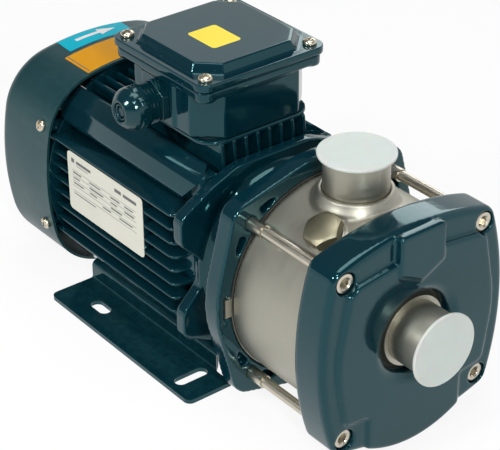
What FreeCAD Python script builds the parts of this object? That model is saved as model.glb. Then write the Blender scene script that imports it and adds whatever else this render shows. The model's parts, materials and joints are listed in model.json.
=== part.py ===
import FreeCAD, Part
import math
import os

# Horizontal multistage centrifugal pump with its electric motor.
# Millimetres, +Z up, +X along the shaft towards the suction port.
# The origin lies on the mounting plane, midway between the two front foot slots.

V = FreeCAD.Vector

# Driving sizes of the whole set
AXIS_H = 80.0            # shaft height above the mounting plane
FLANGE_X = 45.5          # pump side face of the bracket
BRACKET_L = 52.0         # length of the bracket from motor to pump
FRAME_L = 149.5          # length of the finned motor frame
FAN_COVER_L = 63.5       # length of the fan cover
CHAMBER_L = 81.5         # bracket face to the inside of the suction cover wall
COVER_SKIRT_L = 19.5     # how far the suction cover reaches back over the barrel
COVER_WALL = 10.5        # front wall of the suction cover

# Clearances
SLIP_GAP = 0.3           # pieces that slide together by hand
SEAT_GAP = 0.1           # registers and spigots
RUN_GAP = 0.05           # running fits
THREAD_GAP = 0.05        # screw thread in its tapped hole

# Foot bracket, bent from sheet
SHEET = 3.0
FOOT_PLATE_TOP = 17.0    # underside of the motor sits here
FOOT_HALF_W = 88.0
FOOT_WEB_Y = 52.5        # outside face of the upright web
FOOT_REAR_X = -140.5
FOOT_FRONT_X = 21.5
FOOT_WEB_FRONT_X = 2.5
SLOT_Y = FOOT_HALF_W - 18.0
SLOT_W = 9.0
FRONT_SLOT_L = 25.0
REAR_SLOT_L = 18.0
SLOT_PITCH_X = 104.5
FOOT_BOLT_R = 3.0
FOOT_BOLT_Y = 22.0
FOOT_BOLT_XS = (-118.0, -32.0)

# Motor frame
BORE_R = 55.0
TUBE_R = 60.0
SIDE_FIN_Y = 70.0
TOP_FIN_H = 68.0
FIN_T = 2.4
SIDE_FIN_PITCH = 10.3
SIDE_FINS = 8
TOP_FIN_PITCH = 9.4
TOP_FINS = 8
FIN_FRONT_SETBACK = 9.0
BOX_PAD_H = 79.0         # top of the pad that carries the terminal box
BOX_PAD_T = 3.0
TIE_HALF = 49.0          # long screws from the rear shield to the bracket, on a square
TIE_R = 2.5

# Terminal box
BOX_X = -57.2
BOX_HALF = 45.5
BOX_CORNER = 16.0
BOX_FLOOR = 3.0
BOX_WALL = 3.0
BOX_H = 37.0
BOX_FLANGE_T = 6.0
LID_HALF = BOX_HALF + 4.5
LID_SCREW_HALF = BOX_HALF - 4.1
LID_T = 5.0
LID_RISE = 6.0
GASKET_T = 1.0
LID_SCREW_R = 2.5
LID_BOSS_L = 7.5

# Cable gland
GLAND_X = -59.5
GLAND_DROP = 22.5        # below the lid seat
GLAND_R = 10.0
GLAND_HEX_AF = 27.0
CABLE_R = 4.5

# Nameplate
PLATE_L = 87.0
PLATE_H = 44.6
PLATE_T = 0.8
PLATE_REAR_X = -134.5
PLATE_LOW = -9.6         # lower edge, from the shaft axis

# Fan cover
COVER_FLAT = 77.0        # axis to the middle of a side
COVER_SHEET = 1.8
COVER_EDGE_R = 45.0      # round corners between the bowed sides
COVER_LAP = 4.0          # overlap over the rear end of the frame
COVER_SCREW_BACK = 9.5   # screw centres behind the rim
COVER_SCREW_UPS = (42.0, -34.0)

# Shaft line
SHAFT_R = 7.5
PUMP_SHAFT_R = 6.0
BEARING_R = 17.5
BEARING_W = 11.0
BEARING_RACE = 3.4
BALLS = 8
BALL_R = 2.9
ROTOR_R = 31.0
STATOR_BORE_R = 31.4
CORE_L = 62.0
CORE_REAR_X = -113.0
WINDING_L = 17.0

# Pump barrel and its ends
BARREL_R = 69.8
BARREL_T = 1.5
BEAD_T = 2.0
GASKET_BARREL_T = 1.0
INLET_PLATE_T = 2.0
RECESS = 2.6             # barrel end seated in the bracket
TAB_L = 5.0              # tab of the seal plate, which keeps it from turning
TAB_HALF = 6.5
STAY_HALF = (BARREL_R + 8.0) / math.sqrt(2)
STAY_THREAD_R = 4.0      # stay bolts on a square, reduced between their ends
STAY_R = 3.4
STAY_HEAD_R = 6.4
STAY_HEAD_H = 8.0
STAY_SINK_TOP = 6.6      # top of the upper heads behind the front of the cover
STAY_SINK_LOW = 10.6
SLEEVE_R = 4.3
SLEEVE_L = 13.4
LUG_R = 14.5
RING_R = BARREL_R + 11.7
RING_T = 13.5

# Suction cover
COVER_SIDE = BARREL_R + 2.0
COVER_TOP = BARREL_R + 3.9
COVER_LUG_R = 10.0
COVER_BOTTOM_R = BARREL_R + 9.2
COVER_BOTTOM_HALF = 38.5
COVER_STEP = 4.0         # raised middle above the border, at the upper bolts
COVER_LEAN = 3.0         # how much deeper the border lies at the lower bolts
OPENING_R = 29.0
EDGE_R = 7.0

# Ports
PORT_R = 20.6
PORT_BORE_R = 15.15
PORT_MOUTH_R = 17.0
PORT_MOUTH_L = 6.0
PORT_COLLAR_R = 23.5
DISCHARGE_X = 78.0
DISCHARGE_TOP = 97.5     # port face above the shaft axis
SUCTION_FACE = 112.6     # port face beyond the bracket face
CAP_R = 24.3
CAP_T = 2.0
CAP_STUB_L = 5.0

# Plugs
PLUG_X = 92.0
PLUG_TILT = 30.0         # degrees from straight up, towards the nameplate side
DRAIN_TILT = 120.0       # degrees from straight up, away from the nameplate side
PLUG_AF = 22.0
PLUG_HEX_H = 7.0
PLUG_R = 6.58
BOSS_R = 11.5
BOSS_RISE = 1.2
WASHER_T = 1.2

# Hydraulic stages
STAGES = 3
STAGE_PITCH = 18.0
STAGE_FRONT_X = 122.0
BOWL_R = BARREL_R - BARREL_T - 9.3
BOWL_T = 1.5
IMPELLER_R = BOWL_R - 13.0
EYE_R = 17.0
HUB_R = 10.0
VANES = 6
GUIDE_VANES = 7
VANE_T = 1.6
SHROUD_T = 1.5

MOTOR_FACE_X = FLANGE_X - BRACKET_L
FRAME_REAR_X = MOTOR_FACE_X - FRAME_L - 1.0
COVER_RIM_X = FRAME_REAR_X + COVER_LAP
FAN_COVER_REAR_X = COVER_RIM_X - FAN_COVER_L
COVER_IN_X = FLANGE_X + CHAMBER_L
COVER_FRONT_X = COVER_IN_X + COVER_WALL
COVER_BACK_X = COVER_IN_X - COVER_SKIRT_L
LID_SEAT = BOX_PAD_H + GASKET_T + BOX_H
SUCTION_FACE_X = FLANGE_X + SUCTION_FACE


# Shape helpers

def axis_point(x, y=0.0, up=0.0):
    return V(x, y, AXIS_H + up)


def box(x0, x1, y0, y1, z0, z1):
    return Part.makeBox(x1 - x0, y1 - y0, z1 - z0, V(x0, y0, z0))


def rod_x(radius, x0, x1, y=0.0, up=0.0):
    return Part.makeCylinder(radius, x1 - x0, axis_point(x0, y, up), V(1, 0, 0))


def tube_x(outer, inner, x0, x1, y=0.0, up=0.0):
    return rod_x(outer, x0, x1, y, up).cut(rod_x(inner, x0 - 1, x1 + 1, y, up))


def rod_z(radius, z0, z1, x, y):
    return Part.makeCylinder(radius, z1 - z0, V(x, y, z0), V(0, 0, 1))


def turned(profile, base, direction, side):
    # Turns a closed profile of (distance along the axis, radius) about an axis.
    points = [base + direction * a + side * r for a, r in profile]
    face = Part.Face(Part.makePolygon(points + points[:1]))
    return face.revolve(base, direction, 360)


def turned_x(profile):
    return turned(profile, axis_point(0), V(1, 0, 0), V(0, 0, 1))


def rounded(points, radii):
    # A closed wire through the points, each corner rounded by its radius.
    count = len(points)
    starts, ends, arcs = [], [], []
    for i, corner in enumerate(points):
        r = radii[i] if isinstance(radii, (list, tuple)) else radii
        before = (points[i - 1] - corner).normalize()
        after = (points[(i + 1) % count] - corner).normalize()
        if r <= 0:
            starts.append(corner)
            ends.append(corner)
            arcs.append(None)
            continue
        half = before.getAngle(after) / 2
        reach = r / math.tan(half)
        middle = (before + after).normalize()
        centre = corner + middle * (r / math.sin(half))
        starts.append(corner + before * reach)
        ends.append(corner + after * reach)
        arcs.append(centre - middle * r)
    edges = []
    for i in range(count):
        if arcs[i] is not None:
            edges.append(Part.Arc(starts[i], arcs[i], ends[i]).toShape())
        following = starts[(i + 1) % count]
        if ends[i].distanceToPoint(following) > 0.001:
            edges.append(Part.LineSegment(ends[i], following).toShape())
    return Part.Wire(edges)


def slab_x(pairs, radii, x0, x1):
    # An outline of (y, height above the axis) pairs, extruded along the shaft.
    wire = rounded([axis_point(x0, y, up) for y, up in pairs], radii)
    return Part.Face(wire).extrude(V(x1 - x0, 0, 0))


def slab_z(pairs, radii, z0, z1):
    wire = rounded([V(x, y, z0) for x, y in pairs], radii)
    return Part.Face(wire).extrude(V(0, 0, z1 - z0))


def slab_y(pairs, radii, y0, y1):
    # Pairs are (x, z) with z above the mounting plane.
    wire = rounded([V(x, y0, z) for x, z in pairs], radii)
    return Part.Face(wire).extrude(V(0, y1 - y0, 0))


def hexagon(across_flats, base, direction, side, length):
    corner_r = across_flats / math.sqrt(3)
    other = direction.cross(side)
    points = []
    for i in range(6):
        a = math.radians(60 * i)
        points.append(base + side * (corner_r * math.cos(a)) + other * (corner_r * math.sin(a)))
    face = Part.Face(Part.makePolygon(points + points[:1]))
    return face.extrude(direction * length)


def lugged(disc_r, lug_r, half, x0, x1):
    # A disc joined by straight tangents to four round lugs on a square.
    reach = half * math.sqrt(2)
    spread = math.acos((disc_r - lug_r) / reach)
    edges = []
    for i in range(4):
        mid = math.radians(45 + 90 * i)
        lug = (reach * math.cos(mid), reach * math.sin(mid))

        def on_disc(angle):
            return axis_point(x0, disc_r * math.cos(angle), disc_r * math.sin(angle))

        def on_lug(angle):
            return axis_point(x0, lug[0] + lug_r * math.cos(angle), lug[1] + lug_r * math.sin(angle))

        edges.append(Part.LineSegment(on_disc(mid - spread), on_lug(mid - spread)).toShape())
        edges.append(Part.Arc(on_lug(mid - spread), on_lug(mid), on_lug(mid + spread)).toShape())
        edges.append(Part.LineSegment(on_lug(mid + spread), on_disc(mid + spread)).toShape())
        gap = math.radians(90) - 2 * spread
        start = mid + spread
        edges.append(Part.Arc(on_disc(start), on_disc(start + gap / 2), on_disc(start + gap)).toShape())
    return Part.Face(Part.Wire(edges)).extrude(V(x1 - x0, 0, 0))


def bow_centre(reach, corner_r, half):
    # Centre of the large arc that touches two round corners and reaches out to reach.
    gap = reach - corner_r
    return (gap * gap - 2 * half * half) / (2 * (gap - half))


def bowed(reach_y, reach_up, corner_r, half, x0, x1):
    # Four round corners on a square, joined by four sides that bow outwards.
    low = math.atan2(half, half - bow_centre(reach_y, corner_r, half))
    high = math.pi / 2 - math.atan2(half, half - bow_centre(reach_up, corner_r, half))
    middle = (low + high) / 2
    p, q, r = [(half + corner_r * math.cos(a), half + corner_r * math.sin(a)) for a in (low, middle, high)]

    def at(point, sy, su):
        return axis_point(x0, sy * point[0], su * point[1])

    side, top = (reach_y, 0.0), (0.0, reach_up)
    runs = [
        (at(p, 1, -1), at(side, 1, 1), at(p, 1, 1)), (at(p, 1, 1), at(q, 1, 1), at(r, 1, 1)),
        (at(r, 1, 1), at(top, 1, 1), at(r, -1, 1)), (at(r, -1, 1), at(q, -1, 1), at(p, -1, 1)),
        (at(p, -1, 1), at(side, -1, 1), at(p, -1, -1)), (at(p, -1, -1), at(q, -1, -1), at(r, -1, -1)),
        (at(r, -1, -1), at(top, 1, -1), at(r, 1, -1)), (at(r, 1, -1), at(q, 1, -1), at(p, 1, -1)),
    ]
    wire = Part.Wire([Part.Arc(a, b, c).toShape() for a, b, c in runs])
    return Part.Face(wire).extrude(V(x1 - x0, 0, 0))


def edges_at(shape, x):
    # The edges that lie in the plane across the shaft at x.
    return [e for e in shape.Edges if abs(e.BoundBox.XMin - x) < 0.01 and abs(e.BoundBox.XMax - x) < 0.01]


def joined(shapes):
    first = shapes[0]
    rest = shapes[1:]
    return first.fuse(rest).removeSplitter() if rest else first


def group(shapes):
    return Part.makeCompound(shapes)


def square(half):
    return [(half, half), (-half, half), (-half, -half), (half, -half)]


def mirrored_y(shape):
    return shape.mirror(V(0, 0, 0), V(0, 1, 0))


# Foot bracket

def foot_bracket():
    plate_low = FOOT_PLATE_TOP - SHEET
    profile = [
        (-FOOT_HALF_W, 0), (-FOOT_WEB_Y + SHEET, 0), (-FOOT_WEB_Y + SHEET, plate_low),
        (FOOT_WEB_Y - SHEET, plate_low), (FOOT_WEB_Y - SHEET, 0), (FOOT_HALF_W, 0),
        (FOOT_HALF_W, SHEET), (FOOT_WEB_Y, SHEET), (FOOT_WEB_Y, FOOT_PLATE_TOP),
        (-FOOT_WEB_Y, FOOT_PLATE_TOP), (-FOOT_WEB_Y, SHEET), (-FOOT_HALF_W, SHEET),
    ]
    radii = [0, 0, 0, 0, 0, 0, 0, 0, 0, 0, 0, 0]
    inside, outside = 1.5, 4.5
    for i in (1, 4):
        radii[i] = outside
    for i in (2, 3, 7, 10):
        radii[i] = inside
    for i in (8, 9):
        radii[i] = outside
    points = [V(FOOT_REAR_X, y, z) for y, z in profile]
    bent = Part.Face(rounded(points, radii)).extrude(V(FOOT_FRONT_X - FOOT_REAR_X, 0, 0))
    # The web and top plate stop short of the flanges at the pump end.
    relief = slab_z(
        [(FOOT_WEB_FRONT_X, -FOOT_WEB_Y - 1), (FOOT_FRONT_X + 5, -FOOT_WEB_Y - 1),
         (FOOT_FRONT_X + 5, FOOT_WEB_Y + 1), (FOOT_WEB_FRONT_X, FOOT_WEB_Y + 1)],
        [5, 0, 0, 5], -1, FOOT_PLATE_TOP + 1)
    bent = bent.cut(relief)
    corner = 5.0
    blank = slab_z(
        [(FOOT_REAR_X, -FOOT_HALF_W), (FOOT_FRONT_X, -FOOT_HALF_W),
         (FOOT_FRONT_X, FOOT_HALF_W), (FOOT_REAR_X, FOOT_HALF_W)],
        corner, -1, FOOT_PLATE_TOP + 1)
    bent = bent.common(blank)
    cuts = []
    half_w = SLOT_W / 2
    for side in (-1, 1):
        y = side * SLOT_Y
        run = FRONT_SLOT_L / 2
        cuts.append(slab_z([(-half_w, y - run), (half_w, y - run), (half_w, y + run), (-half_w, y + run)],
                           half_w - 0.001, -1, SHEET + 1))
        x = -SLOT_PITCH_X
        run = REAR_SLOT_L / 2
        cuts.append(slab_z([(x - run, y - half_w), (x + run, y - half_w), (x + run, y + half_w),
                            (x - run, y + half_w)], half_w - 0.001, -1, SHEET + 1))
        for bx in FOOT_BOLT_XS:
            cuts.append(rod_z(FOOT_BOLT_R + SLIP_GAP, 0, FOOT_PLATE_TOP + 1, bx, side * FOOT_BOLT_Y))
    return bent.cut(cuts)


def foot_bolts():
    head_h = 4.0
    bolts = []
    for x in FOOT_BOLT_XS:
        for y in (-FOOT_BOLT_Y, FOOT_BOLT_Y):
            seat = FOOT_PLATE_TOP - SHEET
            head = hexagon(10.0, V(x, y, seat - head_h), V(0, 0, 1), V(1, 0, 0), head_h)
            shank = rod_z(FOOT_BOLT_R, seat - 1, FOOT_PLATE_TOP + 7, x, y)
            bolts.append(joined([head, shank]))
    return group(bolts)


# Motor frame

def side_fin(up, sign):
    front = MOTOR_FACE_X - FIN_FRONT_SETBACK
    root = TUBE_R * 0.55
    round_r = 7.0
    points = [V(FRAME_REAR_X, root, 0), V(front + 8, root, 0), V(front, SIDE_FIN_Y, 0), V(FRAME_REAR_X, SIDE_FIN_Y, 0)]
    wire = rounded(points, [0, 0, round_r, 0])
    fin = Part.Face(wire).extrude(V(0, 0, FIN_T))
    fin.translate(V(0, 0, AXIS_H + up - FIN_T / 2))
    return fin if sign > 0 else mirrored_y(fin)


def top_fin(y):
    front = BOX_X + BOX_HALF + 1.0
    rear = BOX_X - BOX_HALF
    root = TUBE_R * 0.7
    round_r = 3.0
    points = [(FRAME_REAR_X, AXIS_H + root), (front + 4, AXIS_H + root), (front, AXIS_H + BOX_PAD_H - 1),
              (rear, AXIS_H + BOX_PAD_H - 1), (rear, AXIS_H + TOP_FIN_H), (FRAME_REAR_X, AXIS_H + TOP_FIN_H)]
    return slab_y(points, [0, 0, round_r, 0, 0, 0], y - FIN_T / 2, y + FIN_T / 2)


def bottom_fin(y):
    front = MOTOR_FACE_X - FIN_FRONT_SETBACK
    root = TUBE_R * 0.7
    points = [(FRAME_REAR_X, FOOT_PLATE_TOP), (front, FOOT_PLATE_TOP), (front + 6, AXIS_H - root),
              (FRAME_REAR_X, AXIS_H - root)]
    return slab_y(points, [0, 3.0, 0, 0], y - FIN_T / 2, y + FIN_T / 2)


def corner_block():
    # The broad smooth corner between the side fins and the top fins.
    pairs = [(-61, 46.5), (-52.5, 59), (-38, 65.5), (-34, 44), (-46, 30)]
    block = slab_x(pairs, [3, 5, 3, 0, 0], FRAME_REAR_X, MOTOR_FACE_X - 0.5)
    # The front end runs to a point at the ridge.
    front = MOTOR_FACE_X + 1
    low_cut = slab_y([(front - 18, AXIS_H + 40), (front, AXIS_H + 40), (front, AXIS_H + 58), (front - 3, AXIS_H + 58)],
                     0, -80, -53.5)
    top_cut = slab_z([(front - 16, -34), (front, -34), (front, -50), (front - 3, -50)], 0, AXIS_H + 60.5, AXIS_H + 80)
    return block.cut([low_cut, top_cut])


def motor_frame():
    solids = [tube_x(TUBE_R, BORE_R, FRAME_REAR_X, MOTOR_FACE_X)]
    first = -(SIDE_FINS - 1) / 2 * SIDE_FIN_PITCH
    for i in range(SIDE_FINS):
        for sign in (-1, 1):
            solids.append(side_fin(first + i * SIDE_FIN_PITCH, sign))
    first = -(TOP_FINS - 1) / 2 * TOP_FIN_PITCH
    for i in range(TOP_FINS):
        solids.append(top_fin(first + i * TOP_FIN_PITCH))
        solids.append(bottom_fin(first + i * TOP_FIN_PITCH))
    block = corner_block()
    for turn in (0, 180):
        turned_block = block.copy()
        turned_block.rotate(axis_point(0), V(1, 0, 0), turn)
        solids.append(turned_block)
        solids.append(mirrored_y(turned_block))
    # Pad under the terminal box
    pad = slab_z([(BOX_X - BOX_HALF, -BOX_HALF + 2), (BOX_X + BOX_HALF, -BOX_HALF + 2),
                  (BOX_X + BOX_HALF, BOX_HALF - 2), (BOX_X - BOX_HALF, BOX_HALF - 2)], BOX_CORNER,
                 AXIS_H + BOX_PAD_H - BOX_PAD_T, AXIS_H + BOX_PAD_H)
    solids.append(pad)
    # Pad behind the nameplate
    inset = 3.0
    solids.append(box(PLATE_REAR_X + inset, PLATE_REAR_X + PLATE_L - inset, -SIDE_FIN_Y, -TUBE_R + 8,
                      AXIS_H + PLATE_LOW + inset, AXIS_H + PLATE_LOW + PLATE_H - inset))
    # Bosses for the foot bolts
    for x in FOOT_BOLT_XS:
        for y in (-FOOT_BOLT_Y, FOOT_BOLT_Y):
            solids.append(rod_z(6.5, FOOT_PLATE_TOP, AXIS_H - TUBE_R + 8, x, y))
    body = joined(solids)
    cuts = [rod_x(BORE_R, FRAME_REAR_X - 1, MOTOR_FACE_X + 1)]
    for x in FOOT_BOLT_XS:
        for y in (-FOOT_BOLT_Y, FOOT_BOLT_Y):
            cuts.append(rod_z(FOOT_BOLT_R + THREAD_GAP, FOOT_PLATE_TOP - 1, FOOT_PLATE_TOP + 7.5, x, y))
    for y, up in square(TIE_HALF):
        cuts.append(rod_x(TIE_R + SLIP_GAP, FRAME_REAR_X - 1, MOTOR_FACE_X + 1, y, up))
    # Way for the leads, and the flat underside that stands on the foot bracket
    cuts.append(box(FRAME_REAR_X - 1, MOTOR_FACE_X + 1, -SIDE_FIN_Y, SIDE_FIN_Y, 0, FOOT_PLATE_TOP))
    cuts.append(rod_z(9.0, AXIS_H + BORE_R - 4, AXIS_H + BOX_PAD_H + 1, BOX_X, 0))
    return body.cut(cuts)


def stator_core():
    slots = 24
    core = tube_x(BORE_R, STATOR_BORE_R, CORE_REAR_X, CORE_REAR_X + CORE_L)
    cuts = []
    for i in range(slots):
        slot = box(CORE_REAR_X - 1, CORE_REAR_X + CORE_L + 1, -2.0, 2.0, AXIS_H + STATOR_BORE_R + 2, AXIS_H + BORE_R - 11)
        slot.rotate(axis_point(0), V(1, 0, 0), 360 / slots * i)
        cuts.append(slot)
    return core.cut(cuts)


def stator_windings():
    # The slot bars and the two end turns of the winding.
    slots = 24
    solids = []
    for start in (CORE_REAR_X - WINDING_L, CORE_REAR_X + CORE_L):
        solids.append(tube_x(BORE_R - 8.0, STATOR_BORE_R + 4.6, start, start + WINDING_L))
    for i in range(slots):
        bar = box(CORE_REAR_X - 1, CORE_REAR_X + CORE_L + 1, -1.8, 1.8, AXIS_H + STATOR_BORE_R + 4.8,
                  AXIS_H + BORE_R - 11.2)
        bar.rotate(axis_point(0), V(1, 0, 0), 360 / slots * i)
        solids.append(bar)
    return joined(solids)


# Bracket between motor and pump

FLANGE_LUG = (67.0, 33.0)
BEARING_POCKET_X = MOTOR_FACE_X - 8.0
TIE_EAR_T = 5.0


def pump_bracket():
    flange_t = 9.0
    flange_front = MOTOR_FACE_X + flange_t
    ring_back = FLANGE_X - RING_T
    y, up = FLANGE_LUG
    outline = [
        (-30, 67), (30, 67), (52, 58), (y + 9, up + 11), (y + 9, up - 8), (61, 10), (61, -10),
        (y + 9, -up + 8), (y + 9, -up - 11), (48, -57), (30, -62.5), (-30, -62.5), (-48, -57), (-y - 9, -up - 11),
        (-y - 9, -up + 8), (-61, -10), (-61, 10), (-y - 9, up - 8), (-y - 9, up + 11), (-52, 58),
    ]
    radii = [30, 30, 25, 7, 7, 12, 12, 7, 7, 25, 30, 30, 25, 7, 7, 12, 12, 7, 7, 25]
    flange = slab_x(outline, radii, MOTOR_FACE_X, flange_front)
    # Waisted lantern, drawn as one turned shell
    waist = 57.0
    steps = 8
    outer = []
    for i in range(steps + 1):
        t = i / steps
        x = flange_front - 2 + (ring_back + 3 - flange_front + 2) * t
        flare = waist + 6 * (1 - min(t / 0.35, 1.0)) ** 2 + (RING_R - 4.5 - waist) * max((t - 0.35) / 0.65, 0.0) ** 1.6
        outer.append((x, flare))
    inner = [(ring_back + 3, 61.0), (flange_front + 8, 46.0), (flange_front - 2, 46.0)]
    lantern = turned_x(outer + inner)
    ring = lugged(RING_R, LUG_R, STAY_HALF, ring_back, FLANGE_X)
    hub = turned_x([(BEARING_POCKET_X, 0), (BEARING_POCKET_X, 24), (flange_front, 27), (flange_front, 0)])
    web = rod_x(BORE_R, MOTOR_FACE_X, flange_front)
    spigot = tube_x(BORE_R - SEAT_GAP, BORE_R - 5, MOTOR_FACE_X - 5, MOTOR_FACE_X + 1)
    body = joined([flange, lantern, ring, hub, web, spigot])
    cuts = [
        rod_x(BARREL_R - 11.8, ring_back - 1, FLANGE_X + 1),
        rod_x(BARREL_R + 1.0, FLANGE_X - RECESS, FLANGE_X + 1),
        rod_x(BEARING_R, BEARING_POCKET_X - 1, BEARING_POCKET_X + BEARING_W + 0.5),
        rod_x(SHAFT_R + 2.5, BEARING_POCKET_X, flange_front + 1),
    ]
    for sy, su in square(STAY_HALF):
        cuts.append(rod_x(STAY_THREAD_R + THREAD_GAP, ring_back - 1, FLANGE_X + 1, sy, su))
    for by, bu in square(TIE_HALF):
        cuts.append(rod_x(TIE_R + THREAD_GAP, MOTOR_FACE_X - 1, flange_front - 1.2, by, bu))
    # Cored pockets each side of the stay bolt bosses
    near, far = BARREL_R + 3.0, BARREL_R + 9.4
    for i in range(4):
        for side in (-1, 1):
            pairs = []
            for r, turn in ((near, 6.8), (far, 7.4), (far - 2.4, 14.0), (near + 0.8, 18.5)):
                a = math.radians(45 + 90 * i + side * turn)
                pairs.append((r * math.cos(a), r * math.sin(a)))
            cuts.append(slab_x(pairs, 0.8, FLANGE_X - 8, FLANGE_X + 1))
    # Notch for the tab of the seal plate, with a dimple below it
    cuts.append(box(FLANGE_X - RECESS, FLANGE_X + 1, -BARREL_R - TAB_L - 1.2, -BARREL_R + 2, AXIS_H - TAB_HALF - 1,
                    AXIS_H + TAB_HALF + 3))
    cuts.append(rod_x(1.8, FLANGE_X - 1.2, FLANGE_X + 1, -BARREL_R - 6.6, -TAB_HALF - 3.4))
    return body.cut(cuts)


def cap_screw(radius, head_r, head_h, seat_x, tip_x, y, up, key):
    # A socket head screw along X whose head stands on the +X side of its seat.
    head = rod_x(head_r, seat_x, seat_x + head_h, y, up)
    shank = rod_x(radius, tip_x, seat_x + 1, y, up)
    socket = hexagon(key, axis_point(seat_x + head_h * 0.5, y, up), V(1, 0, 0), V(0, 1, 0), head_h)
    return joined([head, shank]).cut(socket)


def bracket_screws():
    # Long screws from behind the rear shield, through the frame, into the bracket.
    seat = FRAME_REAR_X - TIE_EAR_T
    screws = []
    for y, up in square(TIE_HALF):
        head = rod_x(4.2, seat - 5.0, seat, y, up)
        shank = rod_x(TIE_R, seat - 1, MOTOR_FACE_X + 7.0, y, up)
        socket = hexagon(4.0, axis_point(seat - 6.0, y, up), V(1, 0, 0), V(0, 1, 0), 3.5)
        screws.append(joined([head, shank]).cut(socket))
    return group(screws)


# Rear end of the motor

REAR_SHIELD_T = 7.0
REAR_BEARING_X = FRAME_REAR_X - 2.0


def rear_shield():
    plate = rod_x(TUBE_R + 4, FRAME_REAR_X - REAR_SHIELD_T, FRAME_REAR_X)
    spigot = rod_x(BORE_R - SEAT_GAP, FRAME_REAR_X - 1, FRAME_REAR_X + 5)
    hollow = rod_x(BORE_R - 6, FRAME_REAR_X - REAR_SHIELD_T + 4, FRAME_REAR_X + 6)
    shell = joined([plate, spigot]).cut(hollow)
    boss = rod_x(BEARING_R + 5, FRAME_REAR_X - REAR_SHIELD_T, REAR_BEARING_X + BEARING_W + 1)
    ears = []
    for base, direction in fan_cover_screw_axes():
        ear = Part.makeCylinder(4.2, 26.0 - COVER_SHEET - 0.4, base - direction * 26.0, direction)
        ears.append(ear.cut(box(FRAME_REAR_X, FRAME_REAR_X + 3, -90, 90, 0, 2 * AXIS_H)))
    for y, up in square(TIE_HALF):
        ears.append(rod_x(7.5, FRAME_REAR_X - TIE_EAR_T, FRAME_REAR_X, y, up))
    body = joined([shell, boss] + ears)
    cuts = [
        rod_x(BEARING_R, REAR_BEARING_X - 1.6, REAR_BEARING_X + BEARING_W + 2),
        rod_x(SHAFT_R + 1.0, FRAME_REAR_X - REAR_SHIELD_T - 1, REAR_BEARING_X + 2),
    ]
    for ear_screw in fan_cover_screw_axes():
        base, direction = ear_screw
        cuts.append(Part.makeCylinder(2.0 + THREAD_GAP, 14, base - direction * 12, direction))
    for y, up in square(TIE_HALF):
        cuts.append(rod_x(TIE_R + SLIP_GAP, FRAME_REAR_X - TIE_EAR_T - 1, FRAME_REAR_X + 1, y, up))
        cuts.append(rod_x(6.0, FRAME_REAR_X - REAR_SHIELD_T - 1, FRAME_REAR_X - TIE_EAR_T, y, up))
    return body.cut(cuts)


def fan_cover_half():
    return COVER_FLAT - COVER_EDGE_R - 3.0


def fan_cover_screw_axes():
    # Each screw stands square on the bowed side of the fan cover.
    half = fan_cover_half()
    centre = bow_centre(COVER_FLAT, COVER_EDGE_R, half)
    tangent = math.atan2(half, half - centre)
    places = []
    x = COVER_RIM_X - COVER_SCREW_BACK
    for side in (-1, 1):
        for up in COVER_SCREW_UPS:
            sign = 1 if up > 0 else -1
            a = math.asin(abs(up) / (COVER_FLAT - centre))
            y = centre + (COVER_FLAT - centre) * math.cos(a)
            if a > tangent:
                a = math.asin((abs(up) - half) / COVER_EDGE_R)
                y = half + COVER_EDGE_R * math.cos(a)
            places.append((axis_point(x, side * y, up), V(0, side * math.cos(a), sign * math.sin(a))))
    return places


def pan_screw(base, direction, side, radius, head_r, head_h, length):
    # A cross recessed pan head screw, its head standing outwards from base.
    profile = [(-length, 0), (-length, radius), (0, radius), (0, head_r), (head_h * 0.45, head_r),
               (head_h * 0.85, head_r * 0.8), (head_h, head_r * 0.45), (head_h, 0)]
    screw = turned(profile, base, direction, side)
    other = direction.cross(side)
    arm = head_r * 0.55
    bars = []
    for a, b in ((side, other), (other, side)):
        corner = base + direction * (head_h * 0.4) - a * arm - b * 0.45
        points = [corner, corner + a * (2 * arm), corner + a * (2 * arm) + b * 0.9, corner + b * 0.9]
        bars.append(Part.Face(Part.makePolygon(points + points[:1])).extrude(direction * head_h))
    return screw.cut(bars)


def fan_cover_screws():
    return group([pan_screw(base, direction, V(1, 0, 0), 2.0, 4.2, 3.0, 10.0)
                  for base, direction in fan_cover_screw_axes()])


def fan_cover():
    half = fan_cover_half()
    outer = bowed(COVER_FLAT, COVER_FLAT, COVER_EDGE_R, half, FAN_COVER_REAR_X, COVER_RIM_X)
    outer = outer.makeFillet(12.0, edges_at(outer, FAN_COVER_REAR_X))
    inside = COVER_FLAT - COVER_SHEET
    inner = bowed(inside, inside, COVER_EDGE_R - COVER_SHEET, half, FAN_COVER_REAR_X + COVER_SHEET, COVER_RIM_X + 1)
    inner = inner.makeFillet(12.0 - COVER_SHEET, edges_at(inner, FAN_COVER_REAR_X + COVER_SHEET))
    shell = outer.cut(inner)
    # Rings of air slots in the rear wall
    cuts = []
    for radius, arms in ((18.0, 4), (28.0, 4), (38.0, 8), (48.0, 8), (58.0, 8)):
        ring = tube_x(radius + 3.0, radius - 3.0, FAN_COVER_REAR_X - 1, FAN_COVER_REAR_X + COVER_SHEET + 1)
        for i in range(arms // 2):
            bar = box(FAN_COVER_REAR_X - 2, FAN_COVER_REAR_X + 4, -2.2, 2.2, AXIS_H - 66, AXIS_H + 66)
            bar.rotate(axis_point(0), V(1, 0, 0), 360 / arms * i + 22.5)
            ring = ring.cut(bar)
        cuts.append(ring)
    for base, direction in fan_cover_screw_axes():
        cuts.append(Part.makeCylinder(2.0 + SLIP_GAP, 6, base - direction * 4, direction))
    return shell.cut(cuts)


# Nameplate

def nameplate():
    low = AXIS_H + PLATE_LOW
    pairs = [(PLATE_REAR_X, low), (PLATE_REAR_X + PLATE_L, low), (PLATE_REAR_X + PLATE_L, low + PLATE_H),
             (PLATE_REAR_X, low + PLATE_H)]
    return slab_y(pairs, 2.5, -SIDE_FIN_Y - PLATE_T, -SIDE_FIN_Y)


# Terminal box

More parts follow.
